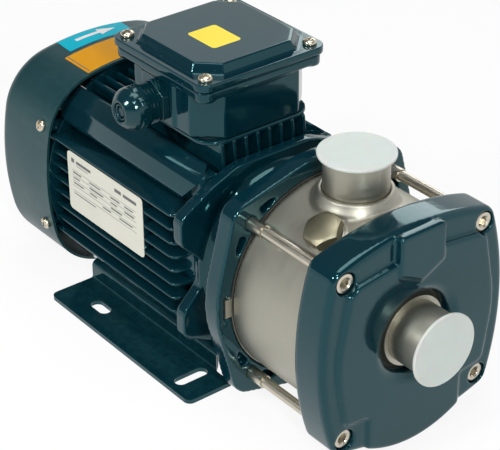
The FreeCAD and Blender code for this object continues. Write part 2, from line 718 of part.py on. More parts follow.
def box_outline(half, corner):
    return [(BOX_X - half + corner, -half), (BOX_X + half - corner, -half), (BOX_X + half, -half + corner),
            (BOX_X + half, half - corner), (BOX_X + half - corner, half), (BOX_X - half + corner, half),
            (BOX_X - half, half - corner), (BOX_X - half, -half + corner)]


def plate_outline(half):
    return [(BOX_X - half, -half), (BOX_X + half, -half), (BOX_X + half, half), (BOX_X - half, half)]


def lid_screw_places():
    return [(BOX_X + a, b) for a, b in square(LID_SCREW_HALF)]


def terminal_box():
    low = AXIS_H + BOX_PAD_H + GASKET_T
    top = low + BOX_H
    walls = slab_z(box_outline(BOX_HALF, BOX_CORNER), 1.5, low, top)
    flange = slab_z(plate_outline(LID_HALF - 1.5), 8.0, top - BOX_FLANGE_T, top)
    body = joined([walls, flange])
    hollow = slab_z(box_outline(BOX_HALF - BOX_WALL, BOX_CORNER - 1), 1.0, low + BOX_FLOOR, top + 1)
    bosses = [rod_z(6.5, top - LID_BOSS_L, top, x, y) for x, y in lid_screw_places()]
    gland_pad = box(GLAND_X - 17, GLAND_X + 17, -BOX_HALF - 2, -BOX_HALF + 1, top - GLAND_DROP - 14, top - 3)
    cuts = [rod_z(LID_SCREW_R + THREAD_GAP, top - LID_BOSS_L - 1, top + 1, x, y) for x, y in lid_screw_places()]
    cuts.append(rod_z(10.0, low - 1, low + BOX_FLOOR + 1, BOX_X, 0))
    gland_z = top - GLAND_DROP
    cuts.append(Part.makeCylinder(GLAND_R + THREAD_GAP, BOX_WALL + 8, V(GLAND_X, -BOX_HALF - 4, gland_z), V(0, 1, 0)))
    cuts.append(Part.makeCylinder(8.0 + THREAD_GAP, BOX_WALL + 4, V(BOX_X + 12, BOX_HALF - BOX_WALL - 2, gland_z),
                                  V(0, 1, 0)))
    shell = body.cut(hollow)
    return joined([shell] + bosses + [gland_pad.cut(hollow)]).cut(cuts)


def box_gasket():
    low = AXIS_H + BOX_PAD_H
    pad = slab_z(plate_outline(BOX_HALF - 4), BOX_CORNER, low, low + GASKET_T)
    return pad.cut(rod_z(10.0, low - 1, low + 2, BOX_X, 0))


def lid_gasket():
    low = AXIS_H + LID_SEAT
    ring = slab_z(plate_outline(LID_HALF - 2.5), 7.5, low, low + GASKET_T)
    inner = slab_z(box_outline(BOX_HALF - BOX_WALL - 1, BOX_CORNER + 3), 1.0, low - 1, low + 2)
    holes = [rod_z(LID_SCREW_R + SLIP_GAP, low - 1, low + 2, x, y) for x, y in lid_screw_places()]
    return ring.cut([inner] + holes)


def terminal_lid():
    low = AXIS_H + LID_SEAT + GASKET_T
    plate = slab_z(plate_outline(LID_HALF), 8.5, low, low + LID_T)
    base_half, corner = LID_HALF - 7.0, BOX_CORNER - 2.0
    top_half = base_half - 3.0
    base = [V(x, y, low + LID_T) for x, y in box_outline(base_half, corner)]
    crown = [V(x, y, low + LID_T + LID_RISE) for x, y in box_outline(top_half, corner - 1)]
    raised = Part.makeLoft([Part.makePolygon(base + base[:1]), Part.makePolygon(crown + crown[:1])], True, True)
    body = joined([plate, raised])
    hollow = slab_z(box_outline(base_half - 7, corner), 1.0, low - 1, low + LID_T + LID_RISE - 3)
    holes = [rod_z(LID_SCREW_R + SLIP_GAP, low - 1, low + LID_T + 1, x, y) for x, y in lid_screw_places()]
    return body.cut([hollow] + holes)


def lid_screws():
    seat = AXIS_H + LID_SEAT + GASKET_T + LID_T
    return group([pan_screw(V(x, y, seat), V(0, 0, 1), V(0.8, 0.6, 0), LID_SCREW_R, 4.6, 3.4, LID_T + LID_BOSS_L)
                  for x, y in lid_screw_places()])


def terminal_board():
    low = AXIS_H + BOX_PAD_H + GASKET_T + BOX_FLOOR
    board = box(BOX_X + 1, BOX_X + 27, -24, 24, low, low + 6)
    ribs = [box(BOX_X + 1, BOX_X + 27, y - 1, y + 1, low + 5, low + 11) for y in (-8.0, 8.0)]
    return joined([board] + ribs)


def terminal_studs():
    low = AXIS_H + BOX_PAD_H + GASKET_T + BOX_FLOOR + 6
    studs = []
    for x in (BOX_X + 8, BOX_X + 20):
        for y in (-16.0, 0.0, 16.0):
            nut = hexagon(7.0, V(x, y, low), V(0, 0, 1), V(1, 0, 0), 3.2)
            studs.append(joined([nut, rod_z(2.0, low, low + 10, x, y)]))
    return group(studs)


def gland_height():
    return AXIS_H + LID_SEAT - GLAND_DROP


GLAND_SEAT_Y = -BOX_HALF - 2.0
GLAND_HEX_T = 10.0


def gland_body():
    z = gland_height()
    base = V(GLAND_X, GLAND_SEAT_Y, z)
    out = V(0, -1, 0)
    collar = hexagon(GLAND_HEX_AF, base, out, V(0, 0, 1), 4.5)
    barrel = Part.makeCylinder(12.6, GLAND_HEX_T, base, out)
    ribs = [Part.makeCylinder(13.2, 1.2, base + out * d, out) for d in (5.6, 7.8)]
    tail = Part.makeCylinder(GLAND_R, BOX_WALL + 6, base, V(0, 1, 0))
    neck = Part.makeCylinder(9.5, GLAND_HEX_T + 8, base, out)
    bore = Part.makeCylinder(7.0, 60, base + V(0, 15, 0), out)
    return joined([collar, barrel, tail, neck] + ribs).cut(bore)


def gland_nut():
    z = gland_height()
    start = V(GLAND_X, GLAND_SEAT_Y - GLAND_HEX_T - 0.3, z)
    out = V(0, -1, 0)
    length = 19.0
    profile = [(0, 0), (0, 14.0), (7.5, 14.2), (12.5, 12.8), (16.5, 10.6), (length, 7.4), (length, 0)]
    dome = turned(profile, start, out, V(0, 0, 1))
    grip = hexagon(27.0, start, out, V(0, 0, 1), 6.0)
    hollow = Part.makeCylinder(9.5 + THREAD_GAP, 10.0, start - out * 0.5, out)
    mouth = turned([(0, 0), (0, 9.4), (14, 7.6), (14.5, 5.0), (length + 1, 5.6), (length + 1, 0)], start, out, V(0, 0, 1))
    return joined([dome, grip]).cut([hollow, mouth])


def gland_seal():
    z = gland_height()
    start = V(GLAND_X, GLAND_SEAT_Y - GLAND_HEX_T - 4.0, z)
    out = V(0, -1, 0)
    ring = Part.makeCylinder(6.9, 10.0, start, out)
    return ring.cut(Part.makeCylinder(CABLE_R, 14.0, start + V(0, 1, 0), out))


def blanking_plug():
    z = gland_height()
    base = V(BOX_X + 12, BOX_HALF, z)
    out = V(0, 1, 0)
    head = turned([(0, 0), (0, 10.0), (1.6, 10.0), (2.6, 8.8), (2.6, 0)], base, out, V(0, 0, 1))
    stem = Part.makeCylinder(8.0, BOX_WALL + 2, base, V(0, -1, 0))
    slot = box(base.x - 6, base.x + 6, base.y + 1.4, base.y + 4, z - 0.8, z + 0.8)
    return joined([head, stem]).cut(slot)


# Bearings

FRONT_BEARING_X = BEARING_POCKET_X + 0.3


def bearing_outer(x):
    ring = tube_x(BEARING_R, BEARING_R - BEARING_RACE, x, x + BEARING_W)
    ball_circle = (BEARING_R + SHAFT_R) / 2
    groove = Part.makeTorus(ball_circle, BALL_R + RUN_GAP, axis_point(x + BEARING_W / 2), V(1, 0, 0))
    return ring.cut(groove)


def bearing_inner(x):
    ring = tube_x(SHAFT_R + BEARING_RACE - 0.4, SHAFT_R, x, x + BEARING_W)
    ball_circle = (BEARING_R + SHAFT_R) / 2
    groove = Part.makeTorus(ball_circle, BALL_R + RUN_GAP, axis_point(x + BEARING_W / 2), V(1, 0, 0))
    return ring.cut(groove)


def bearing_balls():
    ball_circle = (BEARING_R + SHAFT_R) / 2
    balls = []
    for x in (FRONT_BEARING_X, REAR_BEARING_X):
        for i in range(BALLS):
            a = math.radians(360 / BALLS * i)
            centre = axis_point(x + BEARING_W / 2, ball_circle * math.cos(a), ball_circle * math.sin(a))
            balls.append(Part.makeSphere(BALL_R, centre, V(1, 0, 0)))
    return group(balls)


def wave_spring():
    x = REAR_BEARING_X - 1.5
    ring = tube_x(BEARING_R - 0.5, BEARING_R - 3.0, x, x + 0.6)
    pads = []
    for i in range(3):
        pad = box(x, x + 1.4, -2.0, 2.0, AXIS_H + BEARING_R - 2.9, AXIS_H + BEARING_R - 0.8)
        pad.rotate(axis_point(0), V(1, 0, 0), 120 * i)
        pads.append(pad)
    return joined([ring] + pads)


# Rotor

FAN_X = FAN_COVER_REAR_X + 16.0
FAN_W = 26.0


def shaft():
    front = STAGE_FRONT_X + 2.5
    profile = [
        (FAN_X - 3, 0), (FAN_X - 3, SHAFT_R - 2.5), (REAR_BEARING_X - 6, SHAFT_R - 2.5), (REAR_BEARING_X - 6, SHAFT_R),
        (REAR_BEARING_X + BEARING_W, SHAFT_R), (REAR_BEARING_X + BEARING_W, SHAFT_R + 1.5),
        (FRONT_BEARING_X, SHAFT_R + 1.5), (FRONT_BEARING_X, SHAFT_R),
        (FLANGE_X - 18, SHAFT_R), (FLANGE_X - 18, PUMP_SHAFT_R), (front, PUMP_SHAFT_R), (front, 0),
    ]
    return turned_x(profile)


def rotor_core():
    core = tube_x(ROTOR_R, SHAFT_R + 1.5, CORE_REAR_X, CORE_REAR_X + CORE_L)
    return core


def rotor_cage_rings():
    rings = []
    for start in (CORE_REAR_X - 8, CORE_REAR_X + CORE_L):
        ring = tube_x(ROTOR_R - 0.5, 21.0, start, start + 8)
        for i in range(8):
            a = math.radians(45 * i)
            fin_start = start - 4 if start < CORE_REAR_X else start + 8
            fin = box(fin_start, fin_start + 4, -1.0, 1.0, AXIS_H + 22.5, AXIS_H + 29)
            fin.rotate(axis_point(0), V(1, 0, 0), math.degrees(a))
            ring = ring.fuse(fin)
        rings.append(ring)
    return group(rings)


def cooling_fan():
    hub = turned_x([(FAN_X, SHAFT_R - 2.5), (FAN_X, 14), (FAN_X + 5, 16), (FAN_X + FAN_W - 4, 16),
                    (FAN_X + FAN_W - 4, SHAFT_R - 2.5)])
    disc = turned_x([(FAN_X + FAN_W - 6, 15), (FAN_X + FAN_W - 6, COVER_FLAT - 17), (FAN_X + FAN_W - 4, COVER_FLAT - 17), (FAN_X + FAN_W - 4, 15)])
    blades = []
    for i in range(7):
        blade = box(FAN_X + 4, FAN_X + FAN_W - 5, -1.2, 1.2, AXIS_H + 14, AXIS_H + COVER_FLAT - 15)
        blade.rotate(axis_point(0), V(1, 0, 0), 360 / 7 * i)
        blades.append(blade)
    return joined([hub, disc] + blades)


def fan_clip():
    return tube_x(8.5, SHAFT_R - 2.5, FAN_X - 1.2, FAN_X)


# Pump

def bead_x():
    return FLANGE_X - RECESS


BARREL_START_X = FLANGE_X - RECESS + BEAD_T + GASKET_BARREL_T
BARREL_END_X = COVER_IN_X - INLET_PLATE_T - GASKET_BARREL_T


def radial_frame(tilt):
    # Direction from the axis, tilted from straight up towards the nameplate side.
    a = math.radians(tilt)
    return V(0, -math.sin(a), math.cos(a)), V(0, math.cos(a), math.sin(a))


def plug_direction(which):
    tilt = PLUG_TILT if which == "priming" else -DRAIN_TILT
    return radial_frame(tilt)


def boss_face_r():
    return BARREL_R + BOSS_RISE


def pump_barrel():
    shell = tube_x(BARREL_R, BARREL_R - BARREL_T, BARREL_START_X, BARREL_END_X)
    # Pressed neck round the discharge port
    neck_profile = [(BARREL_R - 6, PORT_R + SEAT_GAP), (BARREL_R - 6, 26.6), (BARREL_R - 0.6, 26.6),
                    (BARREL_R + 1.6, 25.2), (BARREL_R + 3.5, PORT_COLLAR_R + 0.6), (BARREL_R + 5.5, PORT_COLLAR_R), (BARREL_R + 5.5, PORT_R + SEAT_GAP)]
    neck = turned(neck_profile, axis_point(DISCHARGE_X), V(0, 0, 1), V(1, 0, 0))
    solids = [shell, neck]
    cuts = [rod_x(BARREL_R - BARREL_T, BARREL_START_X - 1, BARREL_END_X + 1),
            rod_z(PORT_R + SEAT_GAP, AXIS_H + 40, AXIS_H + BARREL_R + 20, DISCHARGE_X, 0)]
    for which in ("priming", "drain"):
        out, side = plug_direction(which)
        centre = axis_point(PLUG_X)
        solids.append(Part.makeCylinder(BOSS_R, 8.0, centre + out * (boss_face_r() - 8.0), out))
        cuts.append(Part.makeCylinder(PLUG_R + THREAD_GAP, 30.0, centre + out * (BARREL_R - 15), out))
    body = joined(solids)
    for tool in cuts:
        body = body.cut(tool)
    return body


def discharge_nozzle():
    base = axis_point(DISCHARGE_X)
    low = BARREL_R - 7.8
    profile = [(low, PORT_BORE_R), (low, PORT_R - 0.8), (low + 1, PORT_R), (DISCHARGE_TOP - 0.8, PORT_R),
               (DISCHARGE_TOP, PORT_R - 0.8), (DISCHARGE_TOP, PORT_MOUTH_R),
               (DISCHARGE_TOP - PORT_MOUTH_L, PORT_MOUTH_R), (DISCHARGE_TOP - PORT_MOUTH_L, PORT_BORE_R)]
    return turned(profile, base, V(0, 0, 1), V(1, 0, 0))


def inlet_plate():
    x = BARREL_END_X + GASKET_BARREL_T
    disc = tube_x(BARREL_R, PORT_R + SEAT_GAP, x, x + INLET_PLATE_T)
    neck = turned_x([(x + INLET_PLATE_T - 1, PORT_R + SEAT_GAP), (x + INLET_PLATE_T - 1, PORT_COLLAR_R + 4),
                     (x + INLET_PLATE_T + 0.5, PORT_COLLAR_R + 2), (x + INLET_PLATE_T + 3.0, PORT_COLLAR_R),
                     (x + INLET_PLATE_T + 6.0, PORT_COLLAR_R), (x + INLET_PLATE_T + 6.0, PORT_R + SEAT_GAP)])
    return joined([disc, neck])


def suction_nozzle():
    start = BARREL_END_X + GASKET_BARREL_T
    end = SUCTION_FACE_X
    return turned_x([(start, PORT_BORE_R), (start, PORT_R), (end - 0.8, PORT_R), (end, PORT_R - 0.8),
                     (end, PORT_MOUTH_R), (end - PORT_MOUTH_L, PORT_MOUTH_R), (end - PORT_MOUTH_L, PORT_BORE_R)])


def barrel_gaskets():
    rings = []
    for x in (BARREL_START_X - GASKET_BARREL_T, BARREL_END_X):
        rings.append(tube_x(BARREL_R - 0.3, BARREL_R - 6.0, x, x + GASKET_BARREL_T))
    return group(rings)


SEAL_SEAT_R = 13.0
SEAL_X = 50.0


def seal_plate():
    x = bead_x()
    profile = [(x, SEAL_SEAT_R), (x, BARREL_R + 0.5), (x + BEAD_T, BARREL_R + 0.5), (x + BEAD_T, SEAL_SEAT_R + 5),
               (SEAL_X + 2, SEAL_SEAT_R + 3), (SEAL_X + 2, SEAL_SEAT_R)]
    tab = box(x, x + BEAD_T, -BARREL_R - TAB_L, -BARREL_R + 4, AXIS_H - TAB_HALF, AXIS_H + TAB_HALF)
    return joined([turned_x(profile), tab])


def seal_seat():
    return tube_x(SEAL_SEAT_R, PUMP_SHAFT_R + 1.0, SEAL_X - 4, SEAL_X + 3)


def seal_rotor():
    x = SEAL_X + 3.0
    return turned_x([(x, PUMP_SHAFT_R), (x, 10.5), (x + 3, 10.5), (x + 3, 11.5), (x + 5, 11.5), (x + 5, PUMP_SHAFT_R)])


def seal_bellows():
    # Rubber bellows that presses the turning seal ring on its seat.
    start = SEAL_X + 8.0
    end = STAGE_FRONT_X - STAGES * STAGE_PITCH
    folds = 3
    pitch = (end - start) / folds
    outer = [(start, 10.5)]
    for i in range(folds):
        outer.append((start + pitch * (i + 0.5), 8.2))
        outer.append((start + pitch * (i + 1), 10.5))
    return turned_x([(start, PUMP_SHAFT_R)] + outer + [(end, PUMP_SHAFT_R)])


def stage_x(stage):
    # Front face of a stage, counted from the suction side.
    return STAGE_FRONT_X - stage * STAGE_PITCH


def curved_vane(x0, x1, r_in, r_out, sweep, thickness, turn):
    # One vane that leans back as it goes outwards, extruded along the shaft.
    steps = 4
    front_side, back_side = [], []
    for i in range(steps + 1):
        t = i / steps
        r = r_in + (r_out - r_in) * t
        a = math.radians(turn + sweep * t)
        half = thickness / 2 / r
        front_side.append(axis_point(x0, r * math.cos(a + half), r * math.sin(a + half)))
        back_side.append(axis_point(x0, r * math.cos(a - half), r * math.sin(a - half)))
    points = front_side + back_side[::-1]
    return Part.Face(Part.makePolygon(points + points[:1])).extrude(V(x1 - x0, 0, 0))


def impeller(stage):
    front = stage_x(stage) - 2.0
    back = front - 10.0
    back_shroud = tube_x(IMPELLER_R, HUB_R - 1, back, back + SHROUD_T)
    front_shroud = tube_x(IMPELLER_R, EYE_R - SHROUD_T, front - 4 - SHROUD_T, front - 4)
    neck = tube_x(EYE_R, EYE_R - SHROUD_T, front - 4 - SHROUD_T, front)
    hub = tube_x(HUB_R, PUMP_SHAFT_R, back, front - 1)
    vanes = []
    for i in range(VANES):
        vanes.append(curved_vane(back + SHROUD_T - 0.2, front - 4 - SHROUD_T + 0.2, EYE_R - 1, IMPELLER_R, -62,
                                 VANE_T, 360 / VANES * i))
    return joined([back_shroud, front_shroud, neck, hub] + vanes)


def diffuser(stage):
    front = stage_x(stage)
    back = front - STAGE_PITCH + 0.2
    wall = tube_x(BOWL_R, BOWL_R - BOWL_T, back, front)
    floor_x = back + 4.0
    floor = tube_x(BOWL_R, HUB_R + 1.5, floor_x, floor_x + BOWL_T)
    vanes = []
    for i in range(GUIDE_VANES):
        vanes.append(curved_vane(back, floor_x + 0.2, EYE_R + 4, BOWL_R - 1, 48, VANE_T, 360 / GUIDE_VANES * i))
    return joined([wall, floor] + vanes)


def neck_rings():
    # Wear rings in which the impeller necks turn, each on its own front plate.
    rings = []
    for stage in range(STAGES):
        front = stage_x(stage)
        plate = tube_x(BOWL_R - BOWL_T - 0.1, EYE_R + 0.3, front - 1.6, front - 0.4)
        lip = tube_x(EYE_R + 2.5, EYE_R + 0.3, front - 4.5, front - 0.4)
        rings.append(joined([plate, lip]))
    return group(rings)


def impeller_spacers():
    spacers = []
    for stage in range(STAGES):
        front = stage_x(stage) - 12.0
        end = stage_x(stage + 1) - 3.0 if stage + 1 < STAGES else stage_x(stage + 1)
        spacers.append(tube_x(HUB_R - 0.5, PUMP_SHAFT_R, end, front))
    return group(spacers)


def impeller_nut():
    x = STAGE_FRONT_X - 3.0
    nut = hexagon(17.0, axis_point(x), V(1, 0, 0), V(0, 1, 0), 6.0)
    return nut.cut(rod_x(PUMP_SHAFT_R, x - 1, x + 7))


def stay_seat_x(up):
    sink = STAY_SINK_TOP if up > 0 else STAY_SINK_LOW
    return COVER_FRONT_X - sink - STAY_HEAD_H


def stay_bolts():
    bolts = []
    for y, up in square(STAY_HALF):
        screw = cap_screw(STAY_R, STAY_HEAD_R, STAY_HEAD_H, stay_seat_x(up), FLANGE_X - RING_T, y, up, 6.0)
        thread = rod_x(STAY_THREAD_R, FLANGE_X - RING_T, FLANGE_X, y, up)
        bolts.append(joined([screw, thread]))
    return group(bolts)


def stay_bolt_sleeves():
    return group([tube_x(SLEEVE_R, STAY_R + SLIP_GAP - 0.05, FLANGE_X, FLANGE_X + SLEEVE_L, y, up)
                  for y, up in square(STAY_HALF)])


def suction_cover():
    front = COVER_FRONT_X - COVER_STEP
    block = bowed(COVER_SIDE, COVER_TOP, COVER_LUG_R, STAY_HALF, COVER_BACK_X, front + 4)
    # The border leans back towards the lower bolts.
    tilt = COVER_LEAN / (2 * STAY_HALF)
    reach = COVER_BOTTOM_R + 20
    wedge = slab_y([(front + tilt * (reach - STAY_HALF), AXIS_H + reach), (front + 40, AXIS_H + reach),
                    (front + 40, AXIS_H - reach), (front - tilt * (reach + STAY_HALF), AXIS_H - reach)],
                   0, -reach, reach)
    block = block.cut(wedge)
    face = max(block.Faces, key=lambda f: f.CenterOfMass.x)
    block = block.makeFillet(EDGE_R, face.Edges)
    # Raised middle, its upper corners rounded inside the upper bolts
    low_y = COVER_BOTTOM_HALF
    pairs = [(-54, 51), (-20, 55.5), (20, 55.5), (54, 51), (63, -30), (60, -43), (low_y, -46), (low_y, -80),
             (-low_y, -80), (-low_y, -46), (-60, -43), (-63, -30)]
    middle = slab_x(pairs, [9, 12, 12, 9, 30, 8, 2, 0, 0, 2, 8, 30], front - 6, COVER_FRONT_X)
    disc = rod_x(COVER_BOTTOM_R, front - 7, COVER_FRONT_X + 1)
    middle = middle.common(disc)
    middle = middle.makeFillet(2.5, edges_at(middle, COVER_FRONT_X))
    apron = rod_x(COVER_BOTTOM_R, COVER_BACK_X, front)
    apron = apron.common(box(COVER_BACK_X - 1, COVER_FRONT_X + 1, -low_y, low_y,
                             AXIS_H - COVER_BOTTOM_R - 1, AXIS_H - 30))
    pad = slab_x([(-18.0, COVER_TOP - 1.0), (-18.0, 47.0), (0.0, 38.0), (18.0, 47.0), (18.0, COVER_TOP - 1.0)],
                 1.5, front - 1, COVER_FRONT_X + 1.4)
    body = joined([block, middle, apron, pad])
    dish = [(COVER_FRONT_X + 1.5, OPENING_R + 9.0), (COVER_FRONT_X - 0.3, OPENING_R + 7.0),
            (COVER_FRONT_X - 1.6, OPENING_R + 4.2), (COVER_FRONT_X - 3.8, OPENING_R + 1.6),
            (COVER_FRONT_X - 6.5, OPENING_R)]
    cuts = [rod_x(BARREL_R + 0.5, COVER_BACK_X - 1, COVER_IN_X),
            turned_x([(COVER_IN_X - 1, 0), (COVER_IN_X - 1, OPENING_R)] + dish[::-1] + [(COVER_FRONT_X + 1.5, 0)])]
    for y, up in square(STAY_HALF):
        cuts.append(rod_x(STAY_R + SLIP_GAP, COVER_BACK_X - 1, COVER_FRONT_X, y, up))
        cuts.append(rod_x(STAY_HEAD_R + 0.8, stay_seat_x(up), COVER_FRONT_X + 1, y, up))
    return body.cut(cuts)


def plug(which):
    out, side = plug_direction(which)
    seat = axis_point(PLUG_X) + out * (boss_face_r() + WASHER_T)
    hexa = hexagon(PLUG_AF, seat, out, V(1, 0, 0), PLUG_HEX_H)
    corner = PLUG_AF / math.sqrt(3)
    crown = turned([(-1, 0), (-1, corner + 1), (PLUG_HEX_H - 2.6, corner + 1), (PLUG_HEX_H, PLUG_AF / 2 - 1.5),
                    (PLUG_HEX_H, 0)], seat, out, side)
    shank = Part.makeCylinder(PLUG_R, 11.0, seat - out * 10.0, out)
    return joined([hexa.common(crown), shank])


def plug_washer(which):
    out, side = plug_direction(which)
    base = axis_point(PLUG_X) + out * boss_face_r()
    return Part.makeCylinder(11.0, WASHER_T, base, out).cut(
        Part.makeCylinder(PLUG_R + SEAT_GAP, WASHER_T + 2, base - out, out))


def cap(base, out, side):
    disc = turned([(0, 0), (0, CAP_R), (CAP_T * 0.6, CAP_R), (CAP_T, CAP_R - 0.8), (CAP_T, 0)], base, out, side)
    stub = Part.makeCylinder(PORT_MOUTH_R - SEAT_GAP, CAP_STUB_L, base - out * CAP_STUB_L, out)
    hollow = Part.makeCylinder(PORT_MOUTH_R - 1.6, CAP_STUB_L + 1, base - out * (CAP_STUB_L + 1), out)
    return joined([disc, stub]).cut(hollow)


def suction_cap():
    return cap(axis_point(SUCTION_FACE_X), V(1, 0, 0), V(0, 0, 1))


def discharge_cap():
    return cap(axis_point(DISCHARGE_X, 0, DISCHARGE_TOP), V(0, 0, 1), V(1, 0, 0))


def build():
    pieces = {
        "foot_bracket": foot_bracket(),
        "foot_bolts": foot_bolts(),
        "motor_frame": motor_frame(),
        "stator_core": stator_core(),
        "stator_windings": stator_windings(),
        "pump_bracket": pump_bracket(),
        "bracket_screws": bracket_screws(),
        "rear_shield": rear_shield(),
        "front_bearing_outer": bearing_outer(FRONT_BEARING_X),
        "rear_bearing_outer": bearing_outer(REAR_BEARING_X),
        "front_bearing_inner": bearing_inner(FRONT_BEARING_X),
        "rear_bearing_inner": bearing_inner(REAR_BEARING_X),
        "bearing_balls": bearing_balls(),
        "wave_spring": wave_spring(),
        "fan_cover": fan_cover(),
        "fan_cover_screws": fan_cover_screws(),
        "nameplate": nameplate(),
        "terminal_box": terminal_box(),
        "box_gasket": box_gasket(),
        "terminal_board": terminal_board(),
        "terminal_studs": terminal_studs(),
        "lid_gasket": lid_gasket(),
        "terminal_lid": terminal_lid(),
        "lid_screws": lid_screws(),
        "gland_body": gland_body(),
        "gland_seal": gland_seal(),
        "gland_nut": gland_nut(),
        "blanking_plug": blanking_plug(),
        "pump_barrel": pump_barrel(),
        "discharge_nozzle": discharge_nozzle(),
        "inlet_plate": inlet_plate(),
        "suction_nozzle": suction_nozzle(),
        "barrel_gaskets": barrel_gaskets(),
        "seal_plate": seal_plate(),
        "seal_seat": seal_seat(),
        "seal_rotor": seal_rotor(),
        "seal_bellows": seal_bellows(),
        "neck_rings": neck_rings(),
        "suction_cover": suction_cover(),
        "stay_bolts": stay_bolts(),
        "stay_bolt_sleeves": stay_bolt_sleeves(),
        "priming_plug": plug("priming"),
        "priming_washer": plug_washer("priming"),
        "drain_plug": plug("drain"),
        "drain_washer": plug_washer("drain"),
        "shaft": shaft(),
        "rotor_core": rotor_core(),
        "rotor_cage_rings": rotor_cage_rings(),
        "impeller_spacers": impeller_spacers(),
        "impeller_nut": impeller_nut(),
        "cooling_fan": cooling_fan(),
        "fan_clip": fan_clip(),
        "suction_cap": suction_cap(),
        "discharge_cap": discharge_cap(),
    }
    for stage in range(STAGES):
        pieces["impeller_%d" % (stage + 1)] = impeller(stage)
        pieces["diffuser_%d" % (stage + 1)] = diffuser(stage)
    return pieces


def main():
    os.makedirs("parts", exist_ok=True)
    for name, shape in build().items():
        shape.exportStep("parts/%s.step" % name)
        solids = len(shape.Solids)
        print("%-22s solids %2d  volume %9.0f  valid %s" % (name, solids, shape.Volume, shape.isValid()))


main()
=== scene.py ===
import json
import math

import bmesh
import bpy
from mathutils import Matrix, Vector
from mathutils.bvhtree import BVHTree


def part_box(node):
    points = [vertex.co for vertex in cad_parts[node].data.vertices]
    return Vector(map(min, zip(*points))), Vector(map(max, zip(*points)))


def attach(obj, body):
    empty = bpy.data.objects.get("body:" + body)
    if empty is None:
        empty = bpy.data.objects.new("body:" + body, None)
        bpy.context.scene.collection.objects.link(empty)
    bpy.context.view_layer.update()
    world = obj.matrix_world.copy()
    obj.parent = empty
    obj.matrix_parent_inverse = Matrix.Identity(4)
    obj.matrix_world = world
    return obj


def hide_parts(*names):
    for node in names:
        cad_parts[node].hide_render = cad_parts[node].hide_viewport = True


# Centrifugal pump and motor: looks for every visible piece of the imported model.
# Metres, +Z up, +X along the shaft towards the suction port.

mm = 0.001
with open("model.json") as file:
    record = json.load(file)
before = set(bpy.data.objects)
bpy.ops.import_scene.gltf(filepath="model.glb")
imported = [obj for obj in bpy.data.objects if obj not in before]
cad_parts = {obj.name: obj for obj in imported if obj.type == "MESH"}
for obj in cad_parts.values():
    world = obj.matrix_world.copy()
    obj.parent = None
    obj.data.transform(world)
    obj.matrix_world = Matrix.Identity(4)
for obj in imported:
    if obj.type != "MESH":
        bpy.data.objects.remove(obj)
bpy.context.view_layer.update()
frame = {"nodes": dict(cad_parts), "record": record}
nodes = frame["nodes"]
bodyOfNode = {n: b for b, members in frame["record"]["behaviour"]["bodies"].items() for n in members}
slotOfNode = {s["node"]: s["material_slot"] for s in frame["record"]["subparts"]}
axisH = 80.0
print("stage: frame loaded,", len(nodes), "nodes")


# Shader helpers

def feed(tree, socket, value):
    # Wires a socket to another one, or sets it to a plain value.
    if isinstance(value, bpy.types.NodeSocket):
        tree.links.new(value, socket)
    else:
        socket.default_value = value


def nodeOf(tree, kind, values, output=0, **settings):
    # A shader node with its settings, values and wires; the result is one of its outputs.
    node = tree.nodes.new("ShaderNode" + kind)
    for name, value in settings.items():
        setattr(node, name, value)
    for socket, value in values.items():
        feed(tree, node.inputs[socket], value)
    return node.outputs[output]


def mapped(tree, value, low, high, newLow, newHigh):
    values = {"Value": value, "From Min": low, "From Max": high, "To Min": newLow, "To Max": newHigh}
    return nodeOf(tree, "MapRange", values, "Result")


def mathNode(tree, operation, a, b):
    return nodeOf(tree, "Math", {0: a, 1: b}, operation=operation)


def noiseNode(tree, vector, scale, detail=3.0):
    return nodeOf(tree, "TexNoise", {"Vector": vector, "Scale": scale, "Detail": detail}, "Fac")


def blended(tree, mask, first, second):
    return nodeOf(tree, "Mix", {"Factor": mask, 6: first, 7: second}, 2, data_type="RGBA")


def startMaterial(name, **sockets):
    material = bpy.data.materials.new(name)
    material.use_nodes = True
    tree = material.node_tree
    shader = tree.nodes["Principled BSDF"]
    for socket, value in sockets.items():
        shader.inputs[socket.replace("_", " ")].default_value = value
    return material, tree, shader


# Camera and light

view = {
    "place": (0.7649, -0.6183, 0.6816),
    "azimuth": 51.972,
    "elevation": 30.947,
    "roll": -0.44,
    "lens": 127.37,
}


def makeCamera():
    camera = bpy.data.objects.new("photoCamera", bpy.data.cameras.new("photoCamera"))
    bpy.context.scene.collection.objects.link(camera)
    a, e, r = (math.radians(view[angle]) for angle in ("azimuth", "elevation", "roll"))
    back = Vector((math.sin(a) * math.cos(e), -math.cos(a) * math.cos(e), math.sin(e)))
    level = Vector((math.cos(a), math.sin(a), 0))
    upright = back.cross(level)
    right = level * math.cos(r) + upright * math.sin(r)
    up = upright * math.cos(r) - level * math.sin(r)
    turn = Matrix((right, up, back)).transposed().to_4x4()
    camera.matrix_world = Matrix.Translation(view["place"]) @ turn
    camera.data.lens = view["lens"]
    camera.data.sensor_width = 36
    camera.data.clip_start = 0.01
    bpy.context.scene.camera = camera
    bpy.context.scene.view_settings.view_transform = "Standard"


def areaLamp(name, place, target, size, power):
    data = bpy.data.lights.new(name, "AREA")
    data.shape = "RECTANGLE"
    data.size, data.size_y = size
    data.energy = power
    lamp = bpy.data.objects.new(name, data)
    bpy.context.scene.collection.objects.link(lamp)
    lamp.location = place
    lamp.rotation_mode = "QUATERNION"
    lamp.rotation_quaternion = (Vector(target) - Vector(place)).to_track_quat("-Z", "Y")


